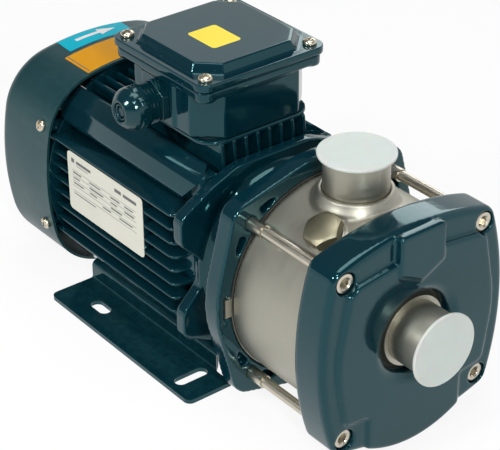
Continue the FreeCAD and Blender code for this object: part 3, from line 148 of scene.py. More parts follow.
# Places and sizes in metres; each lamp has its place, its size and its power in watts.
studio = {
    "paper": {"Base_Color": (0.93, 0.93, 0.925, 1), "Roughness": 0.9, "Specular_IOR_Level": 0.1},
    "paperGlow": 0.88,
    "floorSize": 60,
    "wallCentre": (0.0, -12.4),
    "wallR": 15.5,
    "wallH": 3.1,
    "worldColour": (0.30, 0.31, 0.32, 1),
    "worldStrength": 0.45,
    "lampTarget": (0, 0, 0.1),
    "lamps": {
        "overheadBox": ((-0.05, 0.1, 1.5), (0.8, 0.8), 8.0),
        "rearBox": ((-1.0, 1.3, 1.0), (0.7, 0.5), 3.0),
        "frontBox": ((1.45, -0.75, 1.0), (0.2, 0.2), 15.0),
        "leftBox": ((-0.1, -1.5, 1.15), (0.2, 0.2), 13.0),
        "sparkOne": ((0.62, -0.75, 1.35), (0.05, 0.05), 2.2),
        "sparkTwo": ((0.76, -0.60, 1.35), (0.05, 0.05), 2.2),
    },
}


def paperMaterial():
    # White paper: seen and mirrored almost white, with the shadow left in it.
    material, tree, shader = startMaterial("studioPaper", **studio["paper"])
    rays = nodeOf(tree, "LightPath", {}).node.outputs
    share = mathNode(tree, "MAXIMUM", rays["Is Camera Ray"], rays["Is Glossy Ray"])
    share = mathNode(tree, "MAXIMUM", share, rays["Is Transmission Ray"])
    share = mathNode(tree, "MULTIPLY", share, studio["paperGlow"])
    glow = nodeOf(tree, "Emission", {"Color": (1, 1, 1, 1), "Strength": 1.0})
    mix = nodeOf(tree, "MixShader", {0: share, 1: shader.outputs[0], 2: glow})
    tree.links.new(mix, tree.nodes["Material Output"].inputs["Surface"])
    return material


def makeStudio():
    s = studio
    world = bpy.data.worlds.new("studioWorld")
    bpy.context.scene.world = world
    world.use_nodes = True
    background = world.node_tree.nodes["Background"]
    background.inputs["Color"].default_value = s["worldColour"]
    background.inputs["Strength"].default_value = s["worldStrength"]
    for name, (place, size, power) in s["lamps"].items():
        areaLamp(name, place, s["lampTarget"], size, power)
    bpy.ops.mesh.primitive_plane_add(size=s["floorSize"])
    floor = bpy.context.object
    floor.name = "floor"
    # A low round wall behind the object ends the floor in every view.
    x, y = s["wallCentre"]
    bpy.ops.mesh.primitive_cylinder_add(vertices=96, radius=s["wallR"], depth=s["wallH"],
                                        end_fill_type="NOTHING", location=(x, y, s["wallH"] / 2))
    wall = bpy.context.object
    wall.name = "wall"
    paper = paperMaterial()
    for piece in (floor, wall):
        piece.data.materials.append(paper)


makeCamera()
makeStudio()
print("stage: camera and studio")


# Shared shader effects

def newGroup(name, inputs, *outputs):
    # A group whose inputs take their kind from their value: a number, a direction or a colour.
    tree = bpy.data.node_groups.new(name, "ShaderNodeTree")
    kinds = {3: "NodeSocketVector", 4: "NodeSocketColor"}
    for socketName, value in inputs.items():
        kind = kinds[len(value)] if isinstance(value, tuple) else "NodeSocketFloat"
        tree.interface.new_socket(socketName, in_out="INPUT", socket_type=kind).default_value = value
    for socketName in outputs:
        kind = "NodeSocketColor" if socketName == "Color" else "NodeSocketFloat"
        tree.interface.new_socket(socketName, in_out="OUTPUT", socket_type=kind)
    start = tree.nodes.new("NodeGroupInput").outputs
    end = tree.nodes.new("NodeGroupOutput").inputs
    return tree, start, end, nodeOf(tree, "TexCoord", {}, "Object")


def makeToneGroup():
    # Slow uneven tone: the colour drifts a little over the surface.
    tree, start, end, place = newGroup(
        "unevenTone", {"Color": (0.5, 0.5, 0.5, 1), "Scale": 20.0, "Amount": 0.1}, "Color", "Value")
    noise = noiseNode(tree, place, start["Scale"])
    shift = mathNode(tree, "MULTIPLY", mathNode(tree, "SUBTRACT", noise, 0.5), start["Amount"])
    value = mathNode(tree, "ADD", shift, 1.0)
    tinted = nodeOf(tree, "HueSaturation", {"Color": start["Color"], "Value": value}, "Color")
    feed(tree, end["Color"], tinted)
    feed(tree, end["Value"], noise)
    return tree


def makePeelGroup():
    # Height of sprayed paint: a long soft ripple with fine grain on top.
    tree, start, end, place = newGroup(
        "paintPeel", {"Ripple Scale": 160.0, "Grain Scale": 1200.0, "Grain Share": 0.25}, "Height")
    ripple = noiseNode(tree, place, start["Ripple Scale"], 1.0)
    grain = noiseNode(tree, place, start["Grain Scale"], 2.0)
    grain = mathNode(tree, "MULTIPLY", grain, start["Grain Share"])
    feed(tree, end["Height"], mathNode(tree, "ADD", ripple, grain))
    return tree


def makeDustGroup():
    # Light dust that lies on what faces up, broken up by noise.
    tree, start, end, place = newGroup("restingDust", {"Scale": 60.0, "Amount": 0.2}, "Mask")
    normal = nodeOf(tree, "NewGeometry", {}, "Normal")
    upward = mapped(tree, nodeOf(tree, "SeparateXYZ", {0: normal}, "Z"), 0.35, 1.0, 0.0, 1.0)
    noise = mapped(tree, noiseNode(tree, place, start["Scale"], 6.0), 0.4, 0.7, 0.2, 1.0)
    mask = mathNode(tree, "MULTIPLY", upward, noise)
    feed(tree, end["Mask"], mathNode(tree, "MULTIPLY", mask, start["Amount"]))
    return tree


def makeSpeckGroup():
    # Sparse small specks of dirt and dust.
    tree, start, end, place = newGroup("smallSpecks", {"Scale": 500.0, "Size": 0.12, "Share": 0.2}, "Mask")
    cell = nodeOf(tree, "TexVoronoi", {"Vector": place, "Scale": start["Scale"]}, "Distance")
    near = mathNode(tree, "LESS_THAN", cell, start["Size"])
    pick = nodeOf(tree, "SeparateColor", {0: cell.node.outputs["Color"]})
    chosen = mathNode(tree, "LESS_THAN", pick, start["Share"])
    feed(tree, end["Mask"], mathNode(tree, "MULTIPLY", near, chosen))
    return tree


def makeEdgeWearAndHighlightGroup():
    # Mask of convex edges, where paint is thin and metal polished; the lighter colour laid there is also a
    # painted highlight.
    tree, start, end, place = newGroup("convexEdges", {"Low": 0.52, "High": 0.60, "Scale": 220.0}, "Mask")
    bend = nodeOf(tree, "NewGeometry", {}, "Pointiness")
    mask = mapped(tree, bend, start["Low"], start["High"], 0.0, 1.0)
    broken = mapped(tree, noiseNode(tree, place, start["Scale"], 4.0), 0.35, 0.65, 0.3, 1.0)
    feed(tree, end["Mask"], mathNode(tree, "MULTIPLY", mask, broken))
    return tree


def makeBrushGroup():
    # Fine scratches that run round an axis: noise squeezed along one direction.
    tree, start, end, place = newGroup(
        "brushedLines", {"Squeeze": (1.0, 0.04, 0.04), "Scale": 900.0}, "Value")
    squeezed = nodeOf(tree, "VectorMath", {0: place, 1: start["Squeeze"]}, operation="MULTIPLY")
    feed(tree, end["Value"], noiseNode(tree, squeezed, start["Scale"], 3.0))
    return tree


toneGroup = makeToneGroup()
peelGroup = makePeelGroup()
dustGroup = makeDustGroup()
speckGroup = makeSpeckGroup()
edgeWearAndHighlightGroup = makeEdgeWearAndHighlightGroup()
brushGroup = makeBrushGroup()


def placed(tree, group, **values):
    node = tree.nodes.new("ShaderNodeGroup")
    node.node_tree = group
    for name, value in values.items():
        node.inputs[name.replace("_", " ")].default_value = value
    return node.outputs


def bump(tree, shader, height, strength, distance):
    values = {"Strength": strength, "Distance": distance, "Height": height}
    feed(tree, shader.inputs["Normal"], nodeOf(tree, "Bump", values, "Normal"))


# Paint

# Each paint's edge colour is worn thin paint and also a painted highlight.
paints = {
    "tealEnamel": {
        "colour": (0.0010, 0.0190, 0.0290, 1), "thinPaintAndHighlight": (0.005, 0.038, 0.050, 1), "rough": (0.05, 0.10),
        "peel": 0.06, "dust": 0.01, "specks": 0.02, "shine": 0.60, "tint": (0.47, 0.97, 1.0, 1)},
    "coverEnamel": {
        "colour": (0.003, 0.030, 0.037, 1), "thinPaintAndHighlight": (0.012, 0.050, 0.057, 1), "rough": (0.34, 0.44),
        "peel": 0.05, "dust": 0.03, "specks": 0.02, "shine": 0.50, "tint": (0.60, 0.98, 1.0, 1)},
}
dustColour = (0.16, 0.18, 0.18, 1)
speckColour = (0.10, 0.13, 0.14, 1)


def paintMaterial(name):
    p = paints[name]
    material, tree, shader = startMaterial(name, Specular_IOR_Level=p["shine"], Specular_Tint=p["tint"])
    tone = placed(tree, toneGroup, Color=p["colour"], Scale=18.0, Amount=0.16)
    edges = placed(tree, edgeWearAndHighlightGroup, Low=0.51, High=0.62)
    dust = placed(tree, dustGroup, Scale=90.0, Amount=p["dust"])
    specks = placed(tree, speckGroup, Scale=420.0, Size=0.10, Share=p["specks"])
    colour = tone["Color"]
    # Convex edges take a lighter colour: worn thin paint and a painted highlight.
    for mask, other in ((edges, p["thinPaintAndHighlight"]), (dust, dustColour), (specks, speckColour)):
        colour = blended(tree, mask["Mask"], colour, other)
    feed(tree, shader.inputs["Base Color"], colour)
    rough = mapped(tree, tone["Value"], 0.3, 0.7, *p["rough"])
    rough = mathNode(tree, "ADD", rough, mathNode(tree, "MULTIPLY", dust["Mask"], 1.2))
    feed(tree, shader.inputs["Roughness"], rough)
    peel = placed(tree, peelGroup, Ripple_Scale=170.0, Grain_Scale=1500.0, Grain_Share=0.12)
    bump(tree, shader, peel["Height"], p["peel"], 0.0006)
    return material


# Metal: colour, roughness, how the scratches are squeezed, their scale and their depth

metals = {
    "stainless": ((0.42, 0.41, 0.35, 1), (0.42, 0.50), (1.0, 0.05, 0.05), 1400.0, 0.06),
    # The upright copy is brushed along the nozzle, and its darker colour is painted shade.
    "stainlessUpright": ((0.38, 0.37, 0.31, 1), (0.38, 0.46), (0.05, 0.05, 1.0), 1400.0, 0.06),
    "zincSteel": ((0.62, 0.56, 0.44, 1), (0.22, 0.36), (1.0, 1.0, 1.0), 700.0, 0.12),
    "brightBolt": ((0.58, 0.54, 0.45, 1), (0.26, 0.32), (0.05, 1.0, 1.0), 900.0, 0.02),
    "plugMetal": ((0.32, 0.30, 0.21, 1), (0.40, 0.48), (0.3, 1.0, 1.0), 800.0, 0.02),
    "lamination": ((0.20, 0.20, 0.21, 1), (0.42, 0.60), (1.0, 0.02, 0.02), 2400.0, 0.35),
    "copperWire": ((0.52, 0.20, 0.09, 1), (0.30, 0.45), (0.1, 1.0, 1.0), 1500.0, 0.4),
    "castAlloy": ((0.42, 0.42, 0.42, 1), (0.40, 0.55), (1.0, 1.0, 1.0), 900.0, 0.3),
    "bearingSteel": ((0.60, 0.60, 0.61, 1), (0.14, 0.24), (1.0, 0.03, 0.03), 1800.0, 0.08),
    "brassMetal": ((0.62, 0.44, 0.18, 1), (0.25, 0.38), (1.0, 1.0, 0.1), 900.0, 0.1),
}


def metalMaterial(name):
    colour, rough, squeeze, scale, depth = metals[name]
    material, tree, shader = startMaterial(name, Metallic=1.0)
    tone = placed(tree, toneGroup, Color=colour, Scale=35.0, Amount=0.10)
    edges = placed(tree, edgeWearAndHighlightGroup, Low=0.52, High=0.64)
    # Convex edges take a brighter colour: polished metal and a painted highlight.
    polishAndHighlight = tuple(min(1.0, c * 1.2) for c in colour[:3]) + (1,)
    feed(tree, shader.inputs["Base Color"], blended(tree, edges["Mask"], tone["Color"], polishAndHighlight))
    lines = placed(tree, brushGroup, Squeeze=squeeze, Scale=scale)["Value"]
    smears = mathNode(tree, "MULTIPLY", mathNode(tree, "SUBTRACT", tone["Value"], 0.5), 0.10)
    rough = mathNode(tree, "ADD", mapped(tree, lines, 0.3, 0.7, *rough), smears)
    feed(tree, shader.inputs["Roughness"], rough)
    bump(tree, shader, lines, depth, 0.0001)
    return material


# Plastic, rubber and foil: colour, roughness, depth of the grain, and other sockets of the shader

plastics = {
    "palePlastic": ((0.56, 0.61, 0.58, 1), (0.40, 0.52), 0.06,
                    {"Subsurface_Weight": 0.35, "Subsurface_Scale": 0.004}),
    "paintedPlastic": ((0.0012, 0.020, 0.028, 1), (0.10, 0.18), 0.04,
                       {"Specular_IOR_Level": 0.6, "Specular_Tint": (0.6, 0.98, 1.0, 1)}),
    "blackRubber": ((0.012, 0.013, 0.014, 1), (0.55, 0.72), 0.12, {}),
    "darkMoulding": ((0.018, 0.018, 0.02, 1), (0.40, 0.55), 0.1, {}),
    "labelFoil": ((0.64, 0.64, 0.55, 1), (0.38, 0.46), 0.02, {}),
    "labelInk": ((0.12, 0.12, 0.12, 1), (0.5, 0.6), 0.02, {}),
    "tealFilm": ((0.0, 0.38, 0.50, 1), (0.40, 0.50), 0.03, {"Specular_IOR_Level": 0.15}),
    "whiteFilm": ((0.72, 0.68, 0.68, 1), (0.32, 0.44), 0.03, {}),
    "amberFilm": ((0.60, 0.27, 0.006, 1), (0.36, 0.46), 0.05, {"Specular_IOR_Level": 0.15}),
    "yellowFilm": ((0.86, 0.68, 0.02, 1), (0.28, 0.38), 0.02, {}),
    "ceramicFace": ((0.70, 0.68, 0.62, 1), (0.2, 0.3), 0.02, {}),
}


def plasticMaterial(name):
    colour, rough, grain, sockets = plastics[name]
    material, tree, shader = startMaterial(name, **sockets)
    tone = placed(tree, toneGroup, Color=colour, Scale=45.0, Amount=0.14)
    specks = placed(tree, speckGroup, Scale=350.0, Size=0.08, Share=0.05)
    faded = tuple(c * 0.6 + 0.1 for c in colour[:3]) + (1,)
    feed(tree, shader.inputs["Base Color"], blended(tree, specks["Mask"], tone["Color"], faded))
    feed(tree, shader.inputs["Roughness"], mapped(tree, tone["Value"], 0.3, 0.7, *rough))
    peel = placed(tree, peelGroup, Ripple_Scale=300.0, Grain_Scale=2600.0, Grain_Share=0.5)
    bump(tree, shader, peel["Height"], grain, 0.0003)
    return material


material = {name: paintMaterial(name) for name in paints}
material.update({name: metalMaterial(name) for name in metals})
material.update({name: plasticMaterial(name) for name in plastics})
materialOfSlot = {
    "teal_enamel": "tealEnamel", "cover_enamel": "coverEnamel", "stainless": "stainless",
    "bright_zinc": "brightBolt", "plug_metal": "plugMetal", "pale_plastic": "palePlastic",
    "enamelled_plastic": "paintedPlastic", "black_rubber": "blackRubber", "lamination": "lamination",
    "copper": "copperWire", "cast_alloy": "castAlloy", "bearing_steel": "bearingSteel",
    "label_foil": "labelFoil", "dark_moulding": "darkMoulding", "ceramic": "ceramicFace",
    "brass": "brassMetal",
}
for nodeName, nodeObject in nodes.items():
    finish = material[materialOfSlot[slotOfNode[nodeName]]]
    nodeObject.data.materials.clear()
    nodeObject.data.materials.append(finish)
print("stage: materials,", len(material))


# Mesh helpers

def linked(name, mesh):
    piece = bpy.data.objects.new(name, mesh)
    bpy.context.scene.collection.objects.link(piece)
    return piece


def written(name, work):
    # The worked mesh as a new piece.
    mesh = bpy.data.meshes.new(name)
    work.to_mesh(mesh)
    work.free()
    return linked(name, mesh)


def closed(name, work):
    bmesh.ops.recalc_face_normals(work, faces=work.faces)
    return written(name, work)


def settled(piece):
    # The piece with its modifiers applied, as a plain mesh.
    bpy.context.view_layer.update()
    seen = piece.evaluated_get(bpy.context.evaluated_depsgraph_get())
    mesh = bpy.data.meshes.new_from_object(seen)
    piece.modifiers.clear()
    old = piece.data
    piece.data = mesh
    bpy.data.meshes.remove(old)
    mesh.name = piece.name
    return piece


def dressed(piece, finish, node):
    # The piece rides with a node's body, in the given finish.
    piece.data.materials.clear()
    piece.data.materials.append(material[finish])
    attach(piece, bodyOfNode[node])


def replacing(piece, finish, node):
    # The piece stands in the node's place.
    dressed(piece, finish, node)
    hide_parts(node)


def smoothed(piece, angle=32):
    piece.data.shade_smooth()
    piece.data.set_sharp_from_angle(angle=math.radians(angle))
    return piece


def cadCopy(node, name):
    mesh = nodes[node].data.copy()
    mesh.name = name
    work = bmesh.new()
    work.from_mesh(mesh)
    bmesh.ops.remove_doubles(work, verts=work.verts, dist=0.002 * mm)
    work.to_mesh(mesh)
    work.free()
    return linked(name, mesh)


def softened(piece, voxel, passes):
    # A casting has no sharp edge: it is remeshed finely and its edges are eased.
    remesh = piece.modifiers.new("voxels", "REMESH")
    remesh.mode = "VOXEL"
    remesh.voxel_size = voxel * mm
    ease = piece.modifiers.new("ease", "SMOOTH")
    ease.factor = 0.5
    ease.iterations = passes
    settled(piece)
    piece.data.shade_smooth()
    return piece


def bevelled(piece, width, segments=2, angle=35):
    cut = piece.modifiers.new("edges", "BEVEL")
    cut.width = width * mm
    cut.segments = segments
    cut.limit_method = "ANGLE"
    cut.angle_limit = math.radians(angle)
    cut.harden_normals = True
    piece.data.shade_smooth()
    return settled(piece)


def cutBy(piece, cutters, operation="DIFFERENCE"):
    for cutter in cutters:
        cut = piece.modifiers.new("cut", "BOOLEAN")
        cut.operation = operation
        cut.solver = "EXACT"
        cut.object = cutter
    settled(piece)
    for cutter in cutters:
        bpy.data.objects.remove(cutter)
    return piece


def axisFrame(direction):
    # Two directions square to an axis.
    along = Vector(direction).normalized()
    side = Vector((0, 0, 1)) if abs(along.z) < 0.9 else Vector((1, 0, 0))
    side = (side - along * side.dot(along)).normalized()
    return along, side, along.cross(side)


def turnedMesh(name, profile, base, direction, steps=96):
    # A closed ring of (along, radius) pairs in millimetres, turned about an axis.
    along, side, other = axisFrame(direction)
    origin = Vector(base) * mm
    work = bmesh.new()
    rings = []
    for a, r in profile:
        if r <= 0:
            rings.append([work.verts.new(origin + along * a * mm)])
            continue
        ring = []
        for i in range(steps):
            t = 2 * math.pi * i / steps
            arm = side * (r * math.cos(t)) + other * (r * math.sin(t))
            ring.append(work.verts.new(origin + (along * a + arm) * mm))
        rings.append(ring)
    for first, second in zip(rings, rings[1:] + rings[:1]):
        if len(first) == 1 and len(second) == 1:
            continue
        for i in range(steps):
            j = (i + 1) % steps
            if len(first) == 1:
                work.faces.new((first[0], second[i], second[j]))
            elif len(second) == 1:
                work.faces.new((first[i], second[0], first[j]))
            else:
                work.faces.new((first[i], second[i], second[j], first[j]))
    return closed(name, work)


def turnedX(name, profile, steps=96, y=0, up=0):
    # Turned about a line along the shaft, y and up away from it.
    return turnedMesh(name, profile, (0, y, axisH + up), (1, 0, 0), steps)


def easedProfile(profile, radius, steps=3):
    # Rounds every corner of a closed profile of (along, radius) pairs off the axis.
    out = []
    count = len(profile)
    for i, (a, r) in enumerate(profile):
        here = Vector((a, r))
        if r <= 0:
            out.append((a, r))
            continue
        back = Vector(profile[i - 1]) - here
        ahead = Vector(profile[(i + 1) % count]) - here
        reach = min(radius, back.length * 0.45, ahead.length * 0.45)
        start = here + back.normalized() * reach
        end = here + ahead.normalized() * reach
        for k in range(steps + 1):
            t = k / steps
            point = start * (1 - t) ** 2 + here * 2 * t * (1 - t) + end * t ** 2
            out.append((point.x, point.y))
    return out


def flatUp(u, v, w):
    # The outline lies flat and rises.
    return u, v, w


def acrossX(u, v, w):
    # The outline of (y, up from the shaft) runs along the shaft.
    return w, u, axisH + v


def sideways(u, v, w):
    # The outline of (x, up) runs across the part.
    return u, w, v


def prismMesh(name, outline, low, high, place=flatUp):
    # An outline of 2-D points between two heights; place maps (u, v, w) to the part's frame.
    work = bmesh.new()
    bottom = [work.verts.new(Vector(place(u, v, low)) * mm) for u, v in outline]
    top = [work.verts.new(Vector(place(u, v, high)) * mm) for u, v in outline]
    work.faces.new(bottom)
    work.faces.new(top)
    for i in range(len(outline)):
        j = (i + 1) % len(outline)
        work.faces.new((bottom[i], bottom[j], top[j], top[i]))
    return closed(name, work)


def roundedOutline(points, radii, steps=6):
    out = []
    count = len(points)
    for i, corner in enumerate(points):
        r = radii[i] if isinstance(radii, (list, tuple)) else radii
        here = Vector(corner)
        if r <= 0:
            out.append(tuple(here))
            continue
        back = (Vector(points[i - 1]) - here).normalized()
        ahead = (Vector(points[(i + 1) % count]) - here).normalized()
        half = back.angle(ahead) / 2
        reach = r / math.tan(half)
        centre = here + (back + ahead).normalized() * (r / math.sin(half))
        start = here + back * reach - centre
        end = here + ahead * reach - centre
        for k in range(steps + 1):
            arm = start.slerp(end, k / steps) if start.angle(end) > 0.001 else start
            out.append(tuple(centre + arm.normalized() * r))
    return out


def rectangle(u0, u1, v0, v1):
    return [(u0, v0), (u1, v0), (u1, v1), (u0, v1)]


def joinedMesh(name, pieces):
    work = bmesh.new()
    for piece in pieces:
        work.from_mesh(piece.data)
        old = piece.data
        bpy.data.objects.remove(piece)
        bpy.data.meshes.remove(old)
    return written(name, work)


# Repeated pieces by Geometry Nodes

def startPointTree(name, inputs):
    # What both trees share: one item set on points, made real and given its finish.
    tree = bpy.data.node_groups.new(name, "GeometryNodeTree")
    sockets = {"Geometry": "Geometry", "Item": "Object", **inputs, "Finish": "Material"}
    for socketName, kind in sockets.items():
        tree.interface.new_socket(socketName, in_out="INPUT", socket_type="NodeSocket" + kind)
    tree.interface.new_socket("Geometry", in_out="OUTPUT", socket_type="NodeSocketGeometry")
    start = tree.nodes.new("NodeGroupInput").outputs
    item = tree.nodes.new("GeometryNodeObjectInfo")
    onPoints = tree.nodes.new("GeometryNodeInstanceOnPoints")
    realize = tree.nodes.new("GeometryNodeRealizeInstances")
    finish = tree.nodes.new("GeometryNodeSetMaterial")
    end = tree.nodes.new("NodeGroupOutput")
    link = tree.links.new
    link(start["Item"], item.inputs["Object"])
    link(item.outputs["Geometry"], onPoints.inputs["Instance"])
    link(onPoints.outputs["Instances"], realize.inputs["Geometry"])
    link(realize.outputs["Geometry"], finish.inputs["Geometry"])
    link(start["Finish"], finish.inputs["Material"])
    link(finish.outputs["Geometry"], end.inputs["Geometry"])
    return tree, start, onPoints.inputs, link


def makeRepeatTree():
    # One item set on every point, turned as the point's attribute says.
    tree, start, points, link = startPointTree("repeatOnPoints", {})
    turn = tree.nodes.new("GeometryNodeInputNamedAttribute")
    turn.data_type = "FLOAT_VECTOR"
    turn.inputs["Name"].default_value = "turn"
    toTurn = tree.nodes.new("FunctionNodeEulerToRotation")
    link(start["Geometry"], points["Points"])
    link(turn.outputs["Attribute"], toTurn.inputs["Euler"])
    link(toTurn.outputs["Rotation"], points["Rotation"])
    return tree


def makeRowTree():
    # One item repeated in a straight row with an even pitch.
    tree, start, points, link = startPointTree(
        "repeatInRow", {"Count": "Int", "Start": "Vector", "Pitch": "Vector"})
    row = tree.nodes.new("GeometryNodeMeshLine")
    row.mode = "OFFSET"
    for name, socket in (("Count", "Count"), ("Start", "Start Location"), ("Pitch", "Offset")):
        link(start[name], row.inputs[socket])
    link(row.outputs["Mesh"], points["Points"])
    return tree


repeatTree = makeRepeatTree()
rowTree = makeRowTree()


def withInputs(piece, tree, values):
    modifier = piece.modifiers.new("nodes", "NODES")
    modifier.node_group = tree
    for socket in tree.interface.items_tree:
        if socket.in_out == "INPUT" and socket.name in values:
            modifier[socket.identifier] = values[socket.name]
    return settled(piece)


def repeated(name, item, places, finish):
    # Places are (point in millimetres, direction that the item's +Z takes, twist in degrees).
    mesh = bpy.data.meshes.new(name)
    mesh.from_pydata([Vector(p) * mm for p, direction, twist in places], [], [])
    turns = mesh.attributes.new("turn", "FLOAT_VECTOR", "POINT")
    for i, (p, direction, twist) in enumerate(places):
        along, side, other = axisFrame(direction)
        matrix = Matrix((side, other, along)).transposed() @ Matrix.Rotation(math.radians(twist), 3, "Z")
        turns.data[i].vector = matrix.to_euler()
    piece = withInputs(linked(name, mesh), repeatTree, {"Item": item, "Finish": material[finish]})
    old = item.data
    bpy.data.objects.remove(item)
    bpy.data.meshes.remove(old)
    return piece


def inRow(name, item, count, start, pitch, finish):
    piece = linked(name, bpy.data.meshes.new(name))
    values = {"Item": item, "Count": count, "Start": [v * mm for v in start],
              "Pitch": [v * mm for v in pitch], "Finish": material[finish]}
    piece = withInputs(piece, rowTree, values)
    bpy.data.objects.remove(item)
    return piece


# Motor frame: turned tube, fins in rows, smooth corner blocks and pads

motor = {
    "rearX": -157.0, "faceX": -6.5, "bore": 55.0, "tube": 60.0, "collarR": 75.0, "collarL": 3.0,
    "finT": 2.4, "setback": 9.0, "sideRoot": 33.0, "sideCount": 8, "sidePitch": 10.3, "sideY": 70.0,
    "topRoot": 42.0, "topCount": 8, "topPitch": 9.4, "topH": 68.0,
    "boxX": -57.2, "boxHalf": 45.5, "boxPadH": 79.0, "boxPadR": 16.0, "footTop": 17.0,
    "block": [(-61, 46.5), (-54.5, 56.5), (-41, 67.5), (-36, 44), (-46, 30)], "blockR": [3, 5, 3, 0, 0],
    "belowTip": [(-18, 40), (0, 40), (0, 58), (-3, 58)], "belowTipY": (-80, -53.5),
    "aboveTip": [(-16, -34), (0, -34), (0, -50), (-3, -50)], "aboveTipUp": (60.5, 80),
    "platePad": (-131.5, -50.5, 73.4, 112.0), "platePadY": (-70.0, -52.0),
    "bossX": (-118, -32), "bossY": (-22, 22), "bossR": 6.5, "bossTop": 30.0,
}


def finMesh(name, outline, place):
    # A cast fin has a soft edge all round.
    half = motor["finT"] / 2
    return bevelled(prismMesh(name, outline, -half, half, place), 0.9, 3, 40)


def sleeve(name, x0, x1, inner, outer, ease):
    profile = easedProfile([(x0, inner), (x0, outer), (x1, outer), (x1, inner)], ease)
    return smoothed(turnedX(name, profile, 128))


def cornerBlock(sy, sz):
    # The broad smooth corner, whose front end runs to a point at the ridge.
    m = motor
    outline = roundedOutline([(y * -sy, up * sz) for y, up in m["block"]], m["blockR"])
    outline = [(y, max(up, m["footTop"] - axisH)) for y, up in outline]
    piece = prismMesh("cornerBlock", outline, m["rearX"], m["faceX"] - 0.5, acrossX)
    tip = m["faceX"] + 1
    below = prismMesh("belowTip", [(tip + u, v) for u, v in m["belowTip"]], *m["belowTipY"],
                      lambda u, v, w: (u, w * -sy, axisH + v * sz))
    above = prismMesh("aboveTip", [(tip + u, v) for u, v in m["aboveTip"]], *m["aboveTipUp"],
                      lambda u, v, w: (u, v * -sy, axisH + w * sz))
    return bevelled(cutBy(piece, [below, above]), 1.2, 3, 40)


def makeMotorFrame():
    m = motor
    rear = m["rearX"]
    # The collar that the rear shield seats on closes the fins' rear ends.
    rows = [sleeve("motorTube", rear, m["faceX"], m["bore"], m["tube"], 0.8),
            sleeve("rearCollar", rear, rear + m["collarL"], m["bore"], m["collarR"], 0.5)]
    front = m["faceX"] - m["setback"]
    root = m["sideRoot"]
    side = roundedOutline([(rear, root), (front + 8, root), (front, m["sideY"]), (rear, m["sideY"])],
                          [0, 0, 7.0, 1.0])
    first = axisH - (m["sideCount"] - 1) / 2 * m["sidePitch"]
    for sign, label in ((-1, "Left"), (1, "Right")):
        item = finMesh("sideFinItem", side, lambda u, v, w, s=sign: (u, v * s, w))
        pitch = (0, 0, m["sidePitch"])
        rows.append(inRow("sideFins" + label, item, m["sideCount"], (0, 0, first), pitch, "tealEnamel"))
    boxFront = m["boxX"] + m["boxHalf"]
    boxRear = m["boxX"] - m["boxHalf"]
    padTop = axisH + m["boxPadH"] - 1
    root = axisH + m["topRoot"]
    finTop = axisH + m["topH"]
    top = roundedOutline([(rear, root), (boxFront + 5, root), (boxFront + 1, padTop), (boxRear, padTop),
                          (boxRear, finTop), (rear, finTop)], [0, 0, 3.0, 0.5, 0.5, 1.0])
    root = axisH - m["topRoot"]
    low = roundedOutline([(rear, m["footTop"]), (front, m["footTop"]), (front + 6, root), (rear, root)],
                         [0, 3.0, 0, 0])
    first = -(m["topCount"] - 1) / 2 * m["topPitch"]
    for label, outline in (("Top", top), ("Bottom", low)):
        item = finMesh("finItem", outline, sideways)
        pitch = (0, m["topPitch"], 0)
        rows.append(inRow("fins" + label, item, m["topCount"], (0, first, 0), pitch, "tealEnamel"))
    for sy in (-1, 1):
        for sz in (-1, 1):
            rows.append(cornerBlock(sy, sz))
    padHalf = m["boxHalf"] - 2
    pad = roundedOutline(rectangle(boxRear, boxFront, -padHalf, padHalf), m["boxPadR"])
    rows.append(bevelled(prismMesh("boxPad", pad, padTop - 2, padTop + 1), 0.6))
    rows.append(bevelled(prismMesh("platePad", rectangle(*m["platePad"]), *m["platePadY"], sideways), 0.4))
    boss = [(m["footTop"], 0), (m["footTop"], m["bossR"]), (m["bossTop"], m["bossR"]), (m["bossTop"], 0)]
    for x in m["bossX"]:
        for y in m["bossY"]:
            rows.append(smoothed(turnedMesh("footBoss", boss, (x, y, 0), (0, 0, 1), 32)))
    whole = smoothed(joinedMesh("motorFrame", rows), 40)
    replacing(whole, "tealEnamel", "motor_frame")


makeMotorFrame()
print("stage: motor frame")


# Castings taken from the construction with eased edges: name, voxel size, easing passes and finish

castings = {
    "pump_bracket": ("pumpBracket", 1.1, 3, "tealEnamel"),
    "terminal_box": ("terminalBox", 0.9, 2, "tealEnamel"),
    "terminal_lid": ("terminalLid", 0.7, 2, "tealEnamel"),
    "pump_barrel": ("pumpBarrel", 1.0, 3, "stainless"),
}
for nodeName, (pieceName, voxel, passes, finish) in castings.items():
    casting = softened(cadCopy(nodeName, pieceName), voxel, passes)
    replacing(casting, finish, nodeName)
    print("stage:", pieceName, len(casting.data.polygons), "faces")


# Suction cover: bowed block with a border, raised middle, pad, dished opening and bolt pockets

cover = {
    "back": 107.5, "inside": 127.0, "front": 137.5, "step": 4.0, "rise": 2.2, "side": 73.6, "half": 55.013,
    "lugR": 10.0, "lugTurn": 18, "bottomR": 79.0, "bottomHalf": 38.5, "bottomReach": -82, "edge": 4.2,
    "innerR": 70.3, "openingR": 27.2, "pocketR": 7.2, "seats": {1: 124.2, -1: 125.6}, "holeR": 3.8,
    "middle": [(-54, 51), (-20, 55.5), (20, 55.5), (54, 51), (64.5, 0), (57, -44), (38.5, -46), (38.5, -82),
               (-38.5, -82), (-38.5, -46), (-57, -44), (-64.5, 0)],
    "middleR": [9, 12, 12, 9, 90, 6, 2, 0, 0, 2, 6, 90],
    "pad": [(-18, 72.7), (-18, 47), (0, 38), (18, 47), (18, 72.7)], "padRise": 1.4,
    # The dish as (from the front, beyond the opening's radius).
    "dish": [(-4.2, 0), (-2.4, 1.2), (-1.0, 3.2), (-0.2, 5.4), (1.6, 7.0)],
    "voxel": 0.85, "passes": 7,
}


